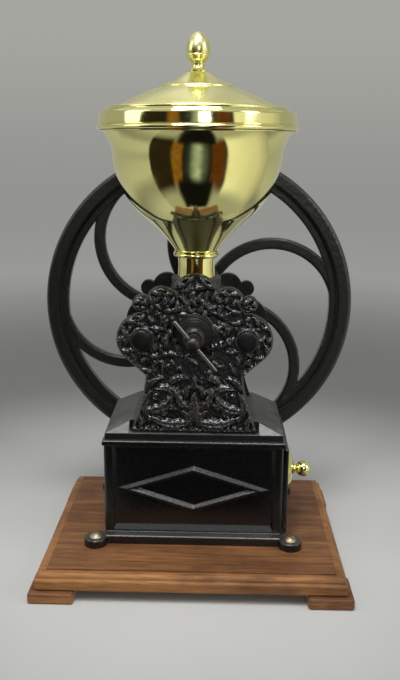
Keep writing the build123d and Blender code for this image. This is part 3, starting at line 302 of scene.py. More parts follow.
@dataclass(frozen=True)
class PaintedIron(Finish):
    """Cast iron under black paint, worn on edges and dusty where it faces up."""

    paint: Colour = rgb(0.0026, 0.0027, 0.0030)
    worn: Colour = rgb(0.070, 0.069, 0.066)
    dust: Colour = rgb(0.075, 0.073, 0.063)
    gloss: float = 0.24
    edge: float = 0.9
    grain: float = 0.10
    wear: float = 0.7
    dusty: float = 0.35
    shine: float = 0.75

    def shade(self, graph: Graph) -> None:
        """Makes the nodes.

        Args:
            graph: The material's graph.
        """
        rounded = graph.soft_edges(self.edge)
        specks = graph.noise(420, 4, 0.7)
        cast = graph.noise(170, 3, 0.5)
        pits = graph.noise(900, 2, 0.6)
        worn = graph.edge_mask(rounded) * specks.between(0.36, 0.62) * self.wear
        worn = worn.most(specks.between(0.67, 0.78) * 0.30 * self.wear)
        patches = graph.noise(22, 3, 0.6).between(0.35, 0.7)
        dust = graph.facing_up().between(0.55, 0.95) * (0.35 + patches * 0.65) * self.dusty
        colour = graph.mix(dust, graph.mix(worn, self.paint, self.worn), self.dust)
        rough = self.gloss + cast * 0.10 + pits.between(0.5, 0.75) * 0.12 + dust * 0.5 + worn * 0.08
        height = cast * 0.7 + pits * 0.3
        graph.finish(Base_Color=colour, Roughness=rough, Specular_IOR_Level=self.shine,
                     Normal=graph.bump(height, self.grain * 4, rounded))


@dataclass(frozen=True)
class ReliefIron(Finish):
    """The same paint on relief work: lighter on the heights, partly worn thin and partly painted highlight,
    dusty in the hollows.
    """

    paint: Colour = rgb(0.0025, 0.0025, 0.0028)
    # The heights' colour: partly worn paint, partly painted highlight.
    worn: Colour = rgb(0.080, 0.079, 0.077)
    dirt: Colour = rgb(0.0040, 0.0038, 0.0034)
    gloss: float = 0.17
    shine: float = 0.74

    def shade(self, graph: Graph) -> None:
        """Makes the nodes.

        Args:
            graph: The material's graph.
        """
        rise = graph.node("ShaderNodeAttribute", {"attribute_name": "rise"}, output="Fac")
        specks = graph.noise(520, 4, 0.7)
        cast = graph.noise(330, 3, 0.6)
        # Painted highlight and wear: the heights take the lighter worn colour.
        worn = rise.between(0.62, 0.98) * specks.between(0.40, 0.66) * 0.75
        hollow = 1.0 - rise.between(0.10, 0.42)
        colour = graph.mix(hollow * 0.8, graph.mix(worn, self.paint, self.worn), self.dirt)
        rough = self.gloss + cast * 0.10 + hollow * 0.06
        graph.finish(Base_Color=colour, Roughness=rough, Specular_IOR_Level=self.shine,
                     Normal=graph.bump(cast, 0.22))


@dataclass(frozen=True)
class Brass(Finish):
    """Polished brass with faint turning lines and thin tarnish, satin above a height."""

    bright: Colour = rgb(0.820, 0.790, 0.360)
    warm: Colour = rgb(0.760, 0.640, 0.230)
    gloss: float = 0.075
    lines: float = 0.012
    line_scale: float = 1500.0
    satin_from: float = 1000.0
    turned: Along = Along.Z

    def shade(self, graph: Graph) -> None:
        """Makes the nodes.

        Args:
            graph: The material's graph.
        """
        clouds = graph.noise(26, 4, 0.6)
        smears = graph.noise(110, 4, 0.65)
        along = graph.axis(self.turned.name) * self.line_scale
        rings = graph.noise(1.0, 3, 0.6, graph.node("ShaderNodeCombineXYZ", {}, {"X": along}))
        dull = clouds.between(0.45, 0.75)
        colour = graph.mix(dull * 0.35, self.bright, self.warm)
        satin = graph.axis("Z").between((self.satin_from - 1.0) * MM, (self.satin_from + 1.0) * MM)
        rough = self.gloss + dull * 0.05 + smears.between(0.5, 0.8) * 0.05 + satin * 0.17
        dents = graph.bump(graph.noise(14, 2, 0.5), 1.4)
        graph.finish(Base_Color=colour, Metallic=1.0, Roughness=rough,
                     Normal=graph.bump(rings, self.lines, dents))


@dataclass(frozen=True)
class StainedWood(Finish):
    """Stained wood, with its grain along one axis and lighter just below its top, partly rubbed wear and
    partly painted highlight.
    """

    dark: Colour = rgb(0.030, 0.011, 0.004)
    middle: Colour = rgb(0.130, 0.048, 0.016)
    light: Colour = rgb(0.225, 0.100, 0.036)
    rubbed_and_highlight: Colour = rgb(0.340, 0.150, 0.045)
    grain: Triple = (1.0, 16.0, 16.0)
    top: float = 1000.0
    gloss: float = 0.42
    shine: float = 0.30

    def shade(self, graph: Graph) -> None:
        """Makes the nodes.

        Args:
            graph: The material's graph.
        """
        grain = graph.stretched(*self.grain)
        broad = graph.noise(6, 5, 0.6, grain)
        fine = graph.noise(30, 4, 0.65, grain)
        pores = graph.noise(80, 2, 0.5, grain)
        stain = graph.noise(14, 3, 0.55)
        tone = graph.mix(broad.between(0.32, 0.68), self.middle, self.light)
        tone = graph.mix(fine.between(0.40, 0.72) * 0.60, tone, self.dark)
        tone = graph.mix(stain.between(0.45, 0.72) * 0.55, tone, self.dark)
        # Painted highlight and rubbed wear: a band just below the top is lighter, broken up by stain and
        # grain.
        below = 1.0 - graph.axis("Z").between((self.top - 2.4) * MM, (self.top - 0.8) * MM)
        clean = 0.35 + 0.65 * (1.0 - stain.between(0.42, 0.66))
        rubbed_and_highlight = below * clean * (1.0 - fine.between(0.40, 0.75) * 0.7)
        tone = graph.mix(rubbed_and_highlight * 0.85, tone, self.rubbed_and_highlight)
        tone = graph.mix(pores.between(0.60, 0.74) * 0.6, tone, self.dark)
        rough = self.gloss + fine * 0.12 + stain * 0.14
        height = fine * 0.5 + pores * 0.5
        graph.finish(Base_Color=tone, Roughness=rough, Specular_IOR_Level=self.shine,
                     Normal=graph.bump(height, 0.30, graph.soft_edges(0.8)))


@dataclass(frozen=True)
class BareMetal(Finish):
    """Turned, ground or rolled metal without paint."""

    colour: Colour = rgb(0.42, 0.42, 0.43)
    stained: Colour = rgb(0.16, 0.14, 0.12)
    gloss: float = 0.28
    stain: float = 0.5
    marks: Triple = (1.0, 1.0, 1.0)

    def shade(self, graph: Graph) -> None:
        """Makes the nodes.

        Args:
            graph: The material's graph.
        """
        scratches = graph.noise(300, 4, 0.7, graph.stretched(*self.marks))
        clouds = graph.noise(90, 4, 0.65)
        dirty = clouds.between(0.45, 0.72) * self.stain
        colour = graph.mix(dirty, self.colour, self.stained)
        rough = self.gloss + scratches * 0.16 + dirty * 0.2
        graph.finish(Base_Color=colour, Metallic=1.0, Roughness=rough,
                     Normal=graph.bump(scratches, 0.05, graph.soft_edges(0.4)))


BLACK_IRON = PaintedIron("black_iron", gloss=0.15, grain=0.05, edge=1.8, wear=0.22)
ROOF_IRON = PaintedIron("roof_iron", dusty=0.95, grain=0.12)
WHEEL_IRON = PaintedIron("wheel_iron", paint=rgb(0.0032, 0.0033, 0.0036), gloss=0.26, dusty=0.0, wear=1.0,
                         grain=0.20, shine=0.60)
BOLT_IRON = PaintedIron("bolt_iron", paint=rgb(0.0035, 0.0035, 0.0034), gloss=0.28, dusty=0.05, wear=0.5,
                        edge=0.4, shine=0.34)
RELIEF_IRON = ReliefIron("relief_iron")
BOWL_BRASS = Brass("bowl_brass")
LID_BRASS = Brass("lid_brass", satin_from=505.0)
KNOB_BRASS = Brass("knob_brass", turned=Along.X)
BOARD_WOOD = StainedWood("board_wood", top=32.0)
FOOT_WOOD = StainedWood("foot_wood", top=10.5)
GRIP_WOOD = StainedWood("grip_wood", grain=(16.0, 1.0, 16.0), gloss=0.30)
RUNNER_WOOD = StainedWood("runner_wood", dark=rgb(0.16, 0.09, 0.045), middle=rgb(0.36, 0.22, 0.12),
                          light=rgb(0.46, 0.31, 0.18), rubbed_and_highlight=rgb(0.46, 0.31, 0.18), gloss=0.55)
STEEL = BareMetal("steel")
DARK_STEEL = BareMetal("dark_steel", rgb(0.060, 0.059, 0.057), rgb(0.016, 0.015, 0.014), gloss=0.34,
                       stain=0.8)
BAR_STEEL = BareMetal("bar_steel", rgb(0.21, 0.207, 0.20), rgb(0.08, 0.072, 0.064), gloss=0.25)
WORN_SCREW = BareMetal("worn_screw", rgb(0.34, 0.28, 0.19), rgb(0.07, 0.055, 0.04), gloss=0.38, stain=0.8)
BRONZE = BareMetal("bronze", rgb(0.50, 0.33, 0.16), rgb(0.22, 0.13, 0.06))
BURR_STEEL = BareMetal("burr_steel", rgb(0.25, 0.25, 0.26), rgb(0.10, 0.07, 0.05), gloss=0.35)
TIN_PLATE = BareMetal("tin_plate", rgb(0.52, 0.52, 0.51), rgb(0.24, 0.21, 0.17), gloss=0.30,
                      marks=(0.1, 1.0, 1.0))

# The CAD nodes that are shown as they are.
NODE_FINISHES: dict[Finish, str] = {
    BOARD_WOOD: "base_board", FOOT_WOOD: "base_feet", RUNNER_WOOD: "drawer_runners", ROOF_IRON: "mill_body",
    BLACK_IRON: "drawer_housing drawer_front", WHEEL_IRON: "wheel_rim wheel_spokes wheel_hub",
    BOLT_IRON: "wheel_nut", LID_BRASS: "finial_nut", KNOB_BRASS: "knob_nut", TIN_PLATE: "drawer_tray",
    BRONZE: "front_bush rear_bush", BURR_STEEL: "outer_burr inner_burr feed_worm", WORN_SCREW: "lug_screws",
    STEEL: "foot_screws body_screws burr_set_screws neck_set_screw thrust_pad main_shaft burr_key "
           "wheel_key wheel_washer handle_stud stud_nut drawer_rivets",
}


# Shapes


@dataclass
class Profile:
    """A half section: points of radius and height, in millimetres."""

    points: list[Pair] = field(default_factory=list)

    def to(self, *points: Pair) -> "Profile":
        """Adds straight lines to these points."""
        self.points += points
        return self

    def arc(self, via: Pair, end: Pair, steps: int = 12) -> "Profile":
        """Adds an arc from the last point through one point to another.

        Args:
            via: A point on the arc.
            end: Its end.
            steps: Straight parts that it is drawn with.

        Returns:
            The profile itself.
        """
        x, y = self.points[-1]
        ax, ay, bx, by = via[0] - x, via[1] - y, end[0] - x, end[1] - y
        twice = 2 * (ax * by - ay * bx)
        a, b = ax * ax + ay * ay, bx * bx + by * by
        cx, cy = (by * a - ay * b) / twice, (ax * b - bx * a) / twice
        radius = math.hypot(cx, cy)
        first = math.atan2(-cy, -cx)
        sweep = (math.atan2(by - cy, bx - cx) - first) % (2 * math.pi)
        middle = (math.atan2(ay - cy, ax - cx) - first) % (2 * math.pi)
        if middle > sweep:
            sweep -= 2 * math.pi
        for step in range(1, steps + 1):
            angle = first + sweep * step / steps
            self.points.append((x + cx + radius * math.cos(angle), y + cy + radius * math.sin(angle)))
        return self

    def swell(self, end: Pair, bow: float, steps: int = 12) -> "Profile":
        """Adds an arc that is given by its bow.

        Args:
            end: Its end.
            bow: How far it bows to the left of its run, or to the right below 0.
            steps: Straight parts that it is drawn with.

        Returns:
            The profile itself.
        """
        x, y = self.points[-1]
        dx, dy = end[0] - x, end[1] - y
        length = math.hypot(dx, dy)
        via = ((x + end[0]) / 2 - dy / length * bow, (y + end[1]) / 2 + dx / length * bow)
        return self.arc(via, end, steps)


def turned(profile: Profile, along: Along, at: Triple, steps: int = 128, closed: bool = False,
           into: Optional[Shape] = None, angle: float = 360.0) -> Shape:
    """Turns a profile about a line.

    Args:
        profile: The half section.
        along: The direction of the line.
        at: A point on the line, at the profile's height 0, in board millimetres.
        steps: Faces round it.
        closed: True for a ring, whose section is a closed loop.
        into: A bmesh to add it to.
        angle: How far it is turned, in degrees.

    Returns:
        The bmesh.
    """
    made = bmesh.new() if into is None else into
    there = set(made.verts)
    verts = [made.verts.new((radius * MM, 0.0, height * MM)) for radius, height in profile.points]
    pairs = list(zip(verts, verts[1:]))
    if closed:
        pairs.append((verts[-1], verts[0]))
    edges = [made.edges.new(pair) for pair in pairs]
    bmesh.ops.spin(made, geom=verts + edges, cent=ORIGIN, axis=(0, 0, 1), angle=math.radians(angle),
                   steps=steps, use_merge=angle == 360.0)
    bmesh.ops.remove_doubles(made, verts=made.verts, dist=1e-6)
    bmesh.ops.recalc_face_normals(made, faces=made.faces)
    bmesh.ops.transform(made, matrix=Matrix.Translation(placed(*at)) @ along.turn(),
                        verts=[vert for vert in made.verts if vert not in there])
    return made


def object_of(name: str, made: Shape, material: Material, sharp: float = 180.0) -> bpy.types.Object:
    """Makes a smooth object of a bmesh, puts it in the scene and frees the bmesh.

    Args:
        name: The object's name.
        made: Its shape, in the row frame.
        material: Its material.
        sharp: The angle in degrees above which an edge stays sharp.

    Returns:
        The new object.
    """
    mesh = bpy.data.meshes.new(name)
    made.to_mesh(mesh)
    made.free()
    mesh.shade_smooth()
    mesh.set_sharp_from_angle(angle=math.radians(sharp))
    mesh.materials.append(material)
    thing = bpy.data.objects.new(name, mesh)
    bpy.context.scene.collection.objects.link(thing)
    LOG.info("%s: %d faces", name, len(mesh.polygons))
    return thing


def show(name: str, made: Shape, finish: Finish, node: str, body: Optional[Body] = None,
         sharp: float = 32.0) -> bpy.types.Object:
    """Makes a dressed piece of a bmesh.

    Args:
        name: The piece's name.
        made: Its shape, in the row frame.
        finish: What it is made of.
        node: The CAD node that it replaces.
        body: The body that it rides on, if any.
        sharp: The angle in degrees above which an edge stays sharp.

    Returns:
        The new object.
    """
    piece = object_of(name, made, finish.material(), sharp)
    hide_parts(node)
    if body:
        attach(piece, body.value)
    return piece


# Sub-assemblies


@dataclass
class Hopper:
    """The spun brass bowl on its neck."""

    axis: Triple = (0.0, HOPPER_AXIS_Y, 0.0)
    wall: float = 1.5
    rim: float = 483.2
    neck_radius: float = 20.6
    neck_bottom: float = 309.5
    waist: Pair = (330.0, 346.0)
    foot: Pair = (23.3, 355.2)
    belly_foot: Pair = (58.9, 392.5)
    belly_top: Pair = (91.5, 456.7)
    flare: Pair = (101.8, 481.7)
    flange: float = 105.4
    collar_bottom: float = 348.2

    def dress(self, name: str, section: Profile, steps: int, node: str) -> None:
        """Turns a section about the hopper's axis and dresses the piece."""
        made = turned(section, Along.Z, self.axis, steps, closed=True)
        show(name, made, BOWL_BRASS, node, Body.FRAME)

    def bowl(self) -> None:
        """Makes the bowl with its rolled rim, belly and funnel."""
        wall, flange, ledge = self.wall, self.flange, self.flare[1]
        section = Profile().to((flange - 1.0, self.rim), (flange, self.rim - 0.4), (flange, ledge + 0.3),
                               (flange - 0.6, ledge), self.flare)
        section.arc((94.6, 470.4), self.belly_top, 14).arc((80.6, 420.0), self.belly_foot, 26)
        section.swell(self.foot, -2.3, 18).to((self.foot[0] - wall, self.foot[1] + 0.3))
        section.swell((self.belly_foot[0] - wall, self.belly_foot[1] + 0.4), 2.3, 18)
        section.arc((80.6 - wall, 420.4), (self.belly_top[0] - wall, self.belly_top[1]), 26)
        section.arc((94.6 - wall, 470.8), (self.flare[0] - 0.4, self.rim), 14)
        self.dress("bowl", section, 160, "hopper_bowl")

    def neck(self) -> None:
        """Makes the tube, a little waisted."""
        outer, inner, top = self.neck_radius, self.neck_radius - self.wall, self.foot[1] - 0.1
        section = Profile().to((inner, self.neck_bottom), (outer, self.neck_bottom), (outer, self.waist[0]))
        section.swell((outer, self.waist[1]), 0.5, 10).to((outer, top), (inner, top))
        self.dress("bowl_neck", section, 96, "hopper_neck")

    def collar(self) -> None:
        """Makes the collar: a thin ledge, a half round and a fillet below it."""
        inner, foot, low, top = self.neck_radius + 0.05, self.foot[0], self.collar_bottom, self.foot[1] - 0.1
        section = Profile().to((inner, low), (foot - 1.0, low), (foot - 0.6, low + 0.8))
        section.arc((foot + 2.4, low + 2.7), (foot + 0.6, top - 1.9), 12)
        section.to((foot + 1.5, top - 1.4), (foot + 1.5, top - 0.5), (foot + 0.6, top), (inner, top))
        self.dress("bowl_collar", section, 96, "hopper_collar")

    def build(self) -> None:
        """Makes the pieces."""
        self.bowl()
        self.neck()
        self.collar()


@dataclass
class Lid:
    """The spun lid with its acorn."""

    axis_y: float = HOPPER_AXIS_Y
    seat: float = 483.5
    wall: float = 1.5
    skirt: float = 106.8
    spigot: float = 91.5
    spigot_bottom: float = -8.0
    crown: Pair = (11.0, 59.5)
    stud: float = 3.05

    def shell(self) -> None:
        """Makes the lid: beaded skirt, rounded edge, stepped shoulder, dome, second step and crown."""
        s, spigot, wall, low = self.skirt, self.spigot, self.wall, self.spigot_bottom
        crown, top = self.crown
        section = Profile().to((s - 2.0, 0.0)).arc((s + 1.45, 2.2), (s - 0.5, 4.5), 12)
        section.to((s - 1.5, 4.9), (s - 1.6, 5.6), (s - 0.9, 6.0), (s - 1.7, 15.2))
        section.arc((s - 3.0, 18.0), (s - 6.0, 19.0), 10).to((97.6, 20.0), (97.3, 20.6))
        section.arc((96.9, 23.0), (95.0, 23.8), 8).to((82.6, 24.7), (82.0, 25.3))
        section.swell((40.6, 43.4), -1.2, 22)
        section.to((40.2, 43.6), (40.0, 44.4)).arc((39.4, 45.4), (38.2, 45.7), 6)
        section.swell((crown + 3.0, 58.0), 0.9, 14).to(self.crown)
        section.to((self.stud, top), (self.stud, top - wall), (crown, top - wall))
        section.swell((39.4, 43.0), -0.9, 10).swell((81.6, 23.6), 1.2, 16)
        section.to((spigot - wall, 22.6), (spigot - wall, low), (spigot, low), (spigot, 22.4),
                   (s - 7.0, 17.4), (s - 3.2, 14.6), (s - 2.6, 1.0))
        made = turned(section, Along.Z, (0.0, self.axis_y, self.seat), 160, closed=True)
        show("lid_shell", made, LID_BRASS, "hopper_lid", Body.LID)

    def acorn(self) -> None:
        """Makes the acorn on its spreading foot, with the stud below."""
        section = Profile().to((0.0, -6.5), (3.0, -6.5), (3.0, 0.0), (10.2, 0.0), (10.4, 0.5), (10.4, 1.3),
                               (9.6, 1.7)).arc((7.3, 3.8), (6.5, 7.0), 10)
        section.to((7.4, 7.4), (7.5, 8.2), (6.6, 8.8), (6.5, 9.4)).arc((10.6, 11.6), (13.0, 15.2), 10)
        section.arc((13.5, 16.2), (13.0, 17.2), 5).to((12.3, 17.6))
        section.arc((12.1, 27.0), (6.6, 36.6), 18).arc((3.9, 39.0), (1.0, 39.9), 8).to((0.0, 40.0))
        made = turned(section, Along.Z, (0.0, self.axis_y, self.seat + self.crown[1]), 96)
        show("lid_acorn", made, LID_BRASS, "lid_finial", Body.LID)

    def build(self) -> None:
        """Makes the pieces."""
        self.shell()
        self.acorn()


@dataclass(frozen=True)
class Leaf:
    """One leaf or berry of the relief. Lengths are half lengths."""

    x: float
    z: float
    length: float
    width: float
    angle: float
    height: float
    curl: float = 0.0
    rib: float = 0.25
    lobed_from: float = 8.0
    taper: float = 0.28
    rib_width: float = 0.22

    def dome(self, x: np.ndarray, z: np.ndarray) -> np.ndarray:
        """Gives the leaf's share of its height.

        Args:
            x: Places across, in millimetres.
            z: Heights, in millimetres.

        Returns:
            Shares from 0 outside the leaf to 1.
        """
        c, s = math.cos(self.angle), math.sin(self.angle)
        u = ((x - self.x) * c + (z - self.z) * s) / self.length
        v = -(x - self.x) * s + (z - self.z) * c - self.curl * (u * u - 0.4)
        oval = np.sqrt(np.clip(1 - u * u, 0, 1))
        half = self.width * oval * (1.0 - self.taper * u)
        if self.length > self.lobed_from:
            half = half * (1.0 + 0.13 * np.sin(13.0 * u))
        across = np.where(half > 1e-3, v / np.maximum(half, 1e-3), 2.0)
        dome = np.sqrt(np.clip(1 - across * across, 0, 1)) * (0.55 + 0.45 * oval)
        return dome * (1.0 - self.rib * np.exp(-(across / self.rib_width) ** 2))


@dataclass
class Relief:
    """The cover's outline and the height of its foliage."""

    foot_z: float = 160.0
    waist_z: float = 224.5
    foot_half: float = 71.0
    waist_half: float = 53.0
    flare: float = 0.32
    bolt_lobe: float = 28.0
    ear: Pair = (58.0, 304.0)
    ear_lobe: float = 9.0
    shoulder: Pair = (36.0, 305.0)
    shoulder_lobe: float = 17.0
    crest: Pair = (0.0, 310.0)
    crest_lobe: float = 26.0
    bore: float = 14.0
    bolt_bore: float = 6.0
    seat: float = 13.6
    boss_seat: float = 20.4
    pad: float = 4.0
    least: float = 0.9
    most: float = 6.2
    rim: float = 3.0
    blend: float = 1.1
    seed: int = 7

    def side(self) -> list[Pair]:
        """Draws the right side of the outline without its lobes, from the foot up.

        Returns:
            Points across and up.
        """
        rise = self.waist_z - self.foot_z
        flare = (self.waist_half + (self.foot_half - self.waist_half) * self.flare, self.foot_z + rise / 2)
        edge = Profile([(self.foot_half, self.foot_z)]).arc(flare, (self.waist_half, self.waist_z), 16)
        across, drop = self.waist_half - BOLT[0], self.waist_z - BOLT[1]
        turn = math.atan2(drop, across) + math.acos(self.bolt_lobe / math.hypot(across, drop))
        tangent = (BOLT[0] + self.bolt_lobe * math.cos(turn), BOLT[1] + self.bolt_lobe * math.sin(turn))
        return edge.points + [tangent, BOLT, self.ear, self.shoulder, self.crest]

    def inside(self, x: np.ndarray, z: np.ndarray) -> np.ndarray:
        """Gives the distance inside the outline, below 0 outside it.

        Args:
            x: Places across, in millimetres.
            z: Heights, in millimetres.

        Returns:
            Distances in millimetres.
        """
        right = self.side()
        loop = right + [(-px, pz) for px, pz in reversed(right[:-1])]
        best = np.full(x.shape, np.inf)
        within = np.zeros(x.shape, bool)
        for (x0, z0), (x1, z1) in zip(loop, loop[1:] + loop[:1]):
            ex, ez = x1 - x0, z1 - z0
            share = np.clip(((x - x0) * ex + (z - z0) * ez) / (ex * ex + ez * ez), 0, 1)
            best = np.minimum(best, np.hypot(x - x0 - share * ex, z - z0 - share * ez))
            if ez:
                within ^= ((z0 > z) != (z1 > z)) & (x < ex * (z - z0) / ez + x0)
        depth = np.where(within, best, -best)
        for (cx, cz), lobe in ((BOLT, self.bolt_lobe), (self.ear, self.ear_lobe),
                               (self.shoulder, self.shoulder_lobe), (self.crest, self.crest_lobe)):
            depth = np.maximum(depth, lobe - np.hypot(np.abs(x) - cx, z - cz))
        for (cx, cz), bore in ((AXLE, self.bore), (BOLT, self.bolt_bore)):
            depth = np.minimum(depth, np.hypot(np.abs(x) - cx, z - cz) - bore)
        return depth

    def pair(self, x: float, z: float, length: float, width: float, degrees: float, height: float,
             curl: float) -> list[Leaf]:
        """Gives a leaf on the right and its mirror on the left."""
        turn = math.radians(degrees)
        return [Leaf(x, z, length, width, turn, height, curl),
                Leaf(-x, z, length, width, math.pi - turn, height, -curl)]

    def wreath(self, x: float, z: float, radius: float, count: int, length: float, width: float,
               height: float, lean: float, rng: random.Random) -> list[Leaf]:
        """Lays a ring of small leaves that lean out of it by turns.

        Args:
            x: The middle of the ring across.
            z: The middle of the ring up.
            radius: Its radius.
            count: How many leaves.
            length: Half their length.
            width: Half their width.
            height: Their height.
            lean: How far they lean out, in degrees.
            rng: The source of their differences.

        Returns:
            The leaves.
        """
        leaves = []
        for number in range(count):
            angle = 2 * math.pi * (number + 0.25 * rng.random()) / count
            tilt = angle + math.pi / 2 + math.radians(lean) * (1 if number % 2 else -1)
            size = 0.85 + 0.3 * rng.random()
            leaves.append(Leaf(x + radius * math.cos(angle), z + radius * math.sin(angle), length * size,
                               width * size, tilt, height * (0.85 + 0.3 * rng.random()), 0.0, 0.12))
        return leaves

    def leaves(self) -> list[Leaf]:
        """Lays out the foliage: wreaths above, long curling leaves and berries below, pebbles at the foot.

        Returns:
            The leaves.
        """
        rng = random.Random(self.seed)
        laid: list[Leaf] = []
        rings = [(side * x, z, *ring) for side in (1, -1) for (x, z), *ring in (
            (BOLT, 16.6, 8, 5.0, 2.6, 3.8, 35), (BOLT, 23.0, 12, 5.6, 3.0, 4.8, 40),
            (self.shoulder, 12.0, 7, 5.4, 2.9, 4.6, 40), (self.shoulder, 5.0, 3, 5.0, 3.0, 4.6, 30),
            (self.ear, 4.8, 5, 3.0, 2.6, 4.6, 30))]
        rings += [(*middle, *ring) for middle, *ring in (
            (self.crest, 20.6, 11, 6.6, 3.2, 4.8, 32), (self.crest, 12.4, 6, 7.4, 3.2, 4.4, 28),
            (self.crest, 4.6, 3, 5.6, 3.2, 4.8, 30), (AXLE, 25.0, 7, 9.6, 3.0, 3.4, 20),
            (AXLE, 32.5, 11, 8.6, 3.2, 4.2, 26))]
        for ring in rings:
            laid += self.wreath(*ring, rng)
        for leaf in ((27.0, 172.0, 24.0, 6.0, 8, 5.2, 7.0), (36.0, 191.0, 19.0, 6.2, 150, 5.5, -8.0),
                     (14.0, 197.0, 15.0, 5.0, 60, 5.2, 5.0), (52.0, 192.0, 16.0, 4.6, 98, 4.8, 5.0),
                     (30.0, 208.0, 15.0, 4.8, 20, 5.1, -6.0), (44.0, 217.0, 11.0, 4.0, 140, 4.8, 4.0),
                     (18.0, 220.0, 12.0, 4.2, 160, 4.8, 4.0), (60.0, 173.0, 9.0, 3.6, 75, 4.6, -3.0),
                     (8.0, 177.0, 12.0, 4.4, 62, 4.8, -4.0), (7.0, 207.0, 9.0, 3.6, 115, 4.6, 3.0)):
            laid += self.pair(*leaf)
        for x, z, size in ((26.0, 189.0, 4.0), (33.5, 181.5, 3.4), (42.0, 203.0, 3.2), (48.0, 176.0, 3.6)):
            laid += self.pair(x, z, size, size, 0, 4.8, 0.0)
        laid.append(Leaf(0.0, 190.0, 17.0, 6.4, math.pi / 2, 5.6))
        laid.append(Leaf(0.0, 216.0, 8.0, 4.0, math.pi / 2, 4.6))
        for step in range(20):
            x = -66.0 + 6.9 * step + 1.8 * (rng.random() - 0.5)
            size = 2.6 + 1.4 * rng.random()
            laid.append(Leaf(x, 163.6 + 1.5 * rng.random(), size, size * 0.85, rng.random() * math.pi,
                             3.6 + 1.2 * rng.random(), 0.0, 0.0))
        for _ in range(150):
            x, z = 84.0 * (2 * rng.random() - 1), 228.0 + 108.0 * rng.random()
            if math.hypot(x, z - AXLE[1] + 18.0) < 27.0:
                continue
            laid.append(Leaf(x, z, 3.2 + 5.6 * rng.random() ** 2, 2.0 + 2.0 * rng.random(),
                             math.pi * rng.random(), 1.6 + 2.8 * rng.random(),
                             3.0 * (rng.random() - 0.5), 0.0))
        for _ in range(40):
            x, z = 60.0 * (2 * rng.random() - 1), 168.0 + 60.0 * rng.random()
            laid.append(Leaf(x, z, 2.2 + 3.0 * rng.random(), 1.6 + 1.2 * rng.random(), math.pi * rng.random(),
                             1.8 + 1.6 * rng.random(), 0.0, 0.1))
        return laid

    def heights(self, x: np.ndarray, z: np.ndarray) -> np.ndarray:
        """Gives the height of the relief over the plate's ground.

        Args:
            x: Places across, in millimetres.
            z: Heights, in millimetres.

        Returns:
            Heights of the relief in millimetres.
        """
        heaped = np.ones(x.shape)
        for leaf in self.leaves():
            heaped += np.exp(self.blend * leaf.height * leaf.dome(x, z)) - 1.0
        ripple = np.sin(0.83 * x + 1.9 * np.sin(0.31 * z)) * np.sin(0.71 * z + 1.7 * np.sin(0.37 * x))
        raised = np.maximum(self.least, np.minimum(np.log(heaped) / self.blend, self.most)) + 0.2 * ripple
        depth = self.inside(x, z)
        bead = 1.0 + 0.25 * np.sin(0.9 * (x + 1.3 * z)) * np.sin(1.1 * (z - 0.7 * x))
        raised = np.maximum(raised, self.rim * bead * np.exp(-((depth - 2.2) / 1.5) ** 2))
        raised *= np.clip(depth / 1.4, 0, 1) ** 0.5
        for (cx, cz), seat in ((BOLT, self.seat), (AXLE, self.boss_seat)):
            away = np.hypot(np.abs(x) - cx, z - cz)
            share = np.clip((seat + 0.8 - away) / 1.6, 0, 1)
            raised = raised * (1 - share) + self.pad * share
        return raised


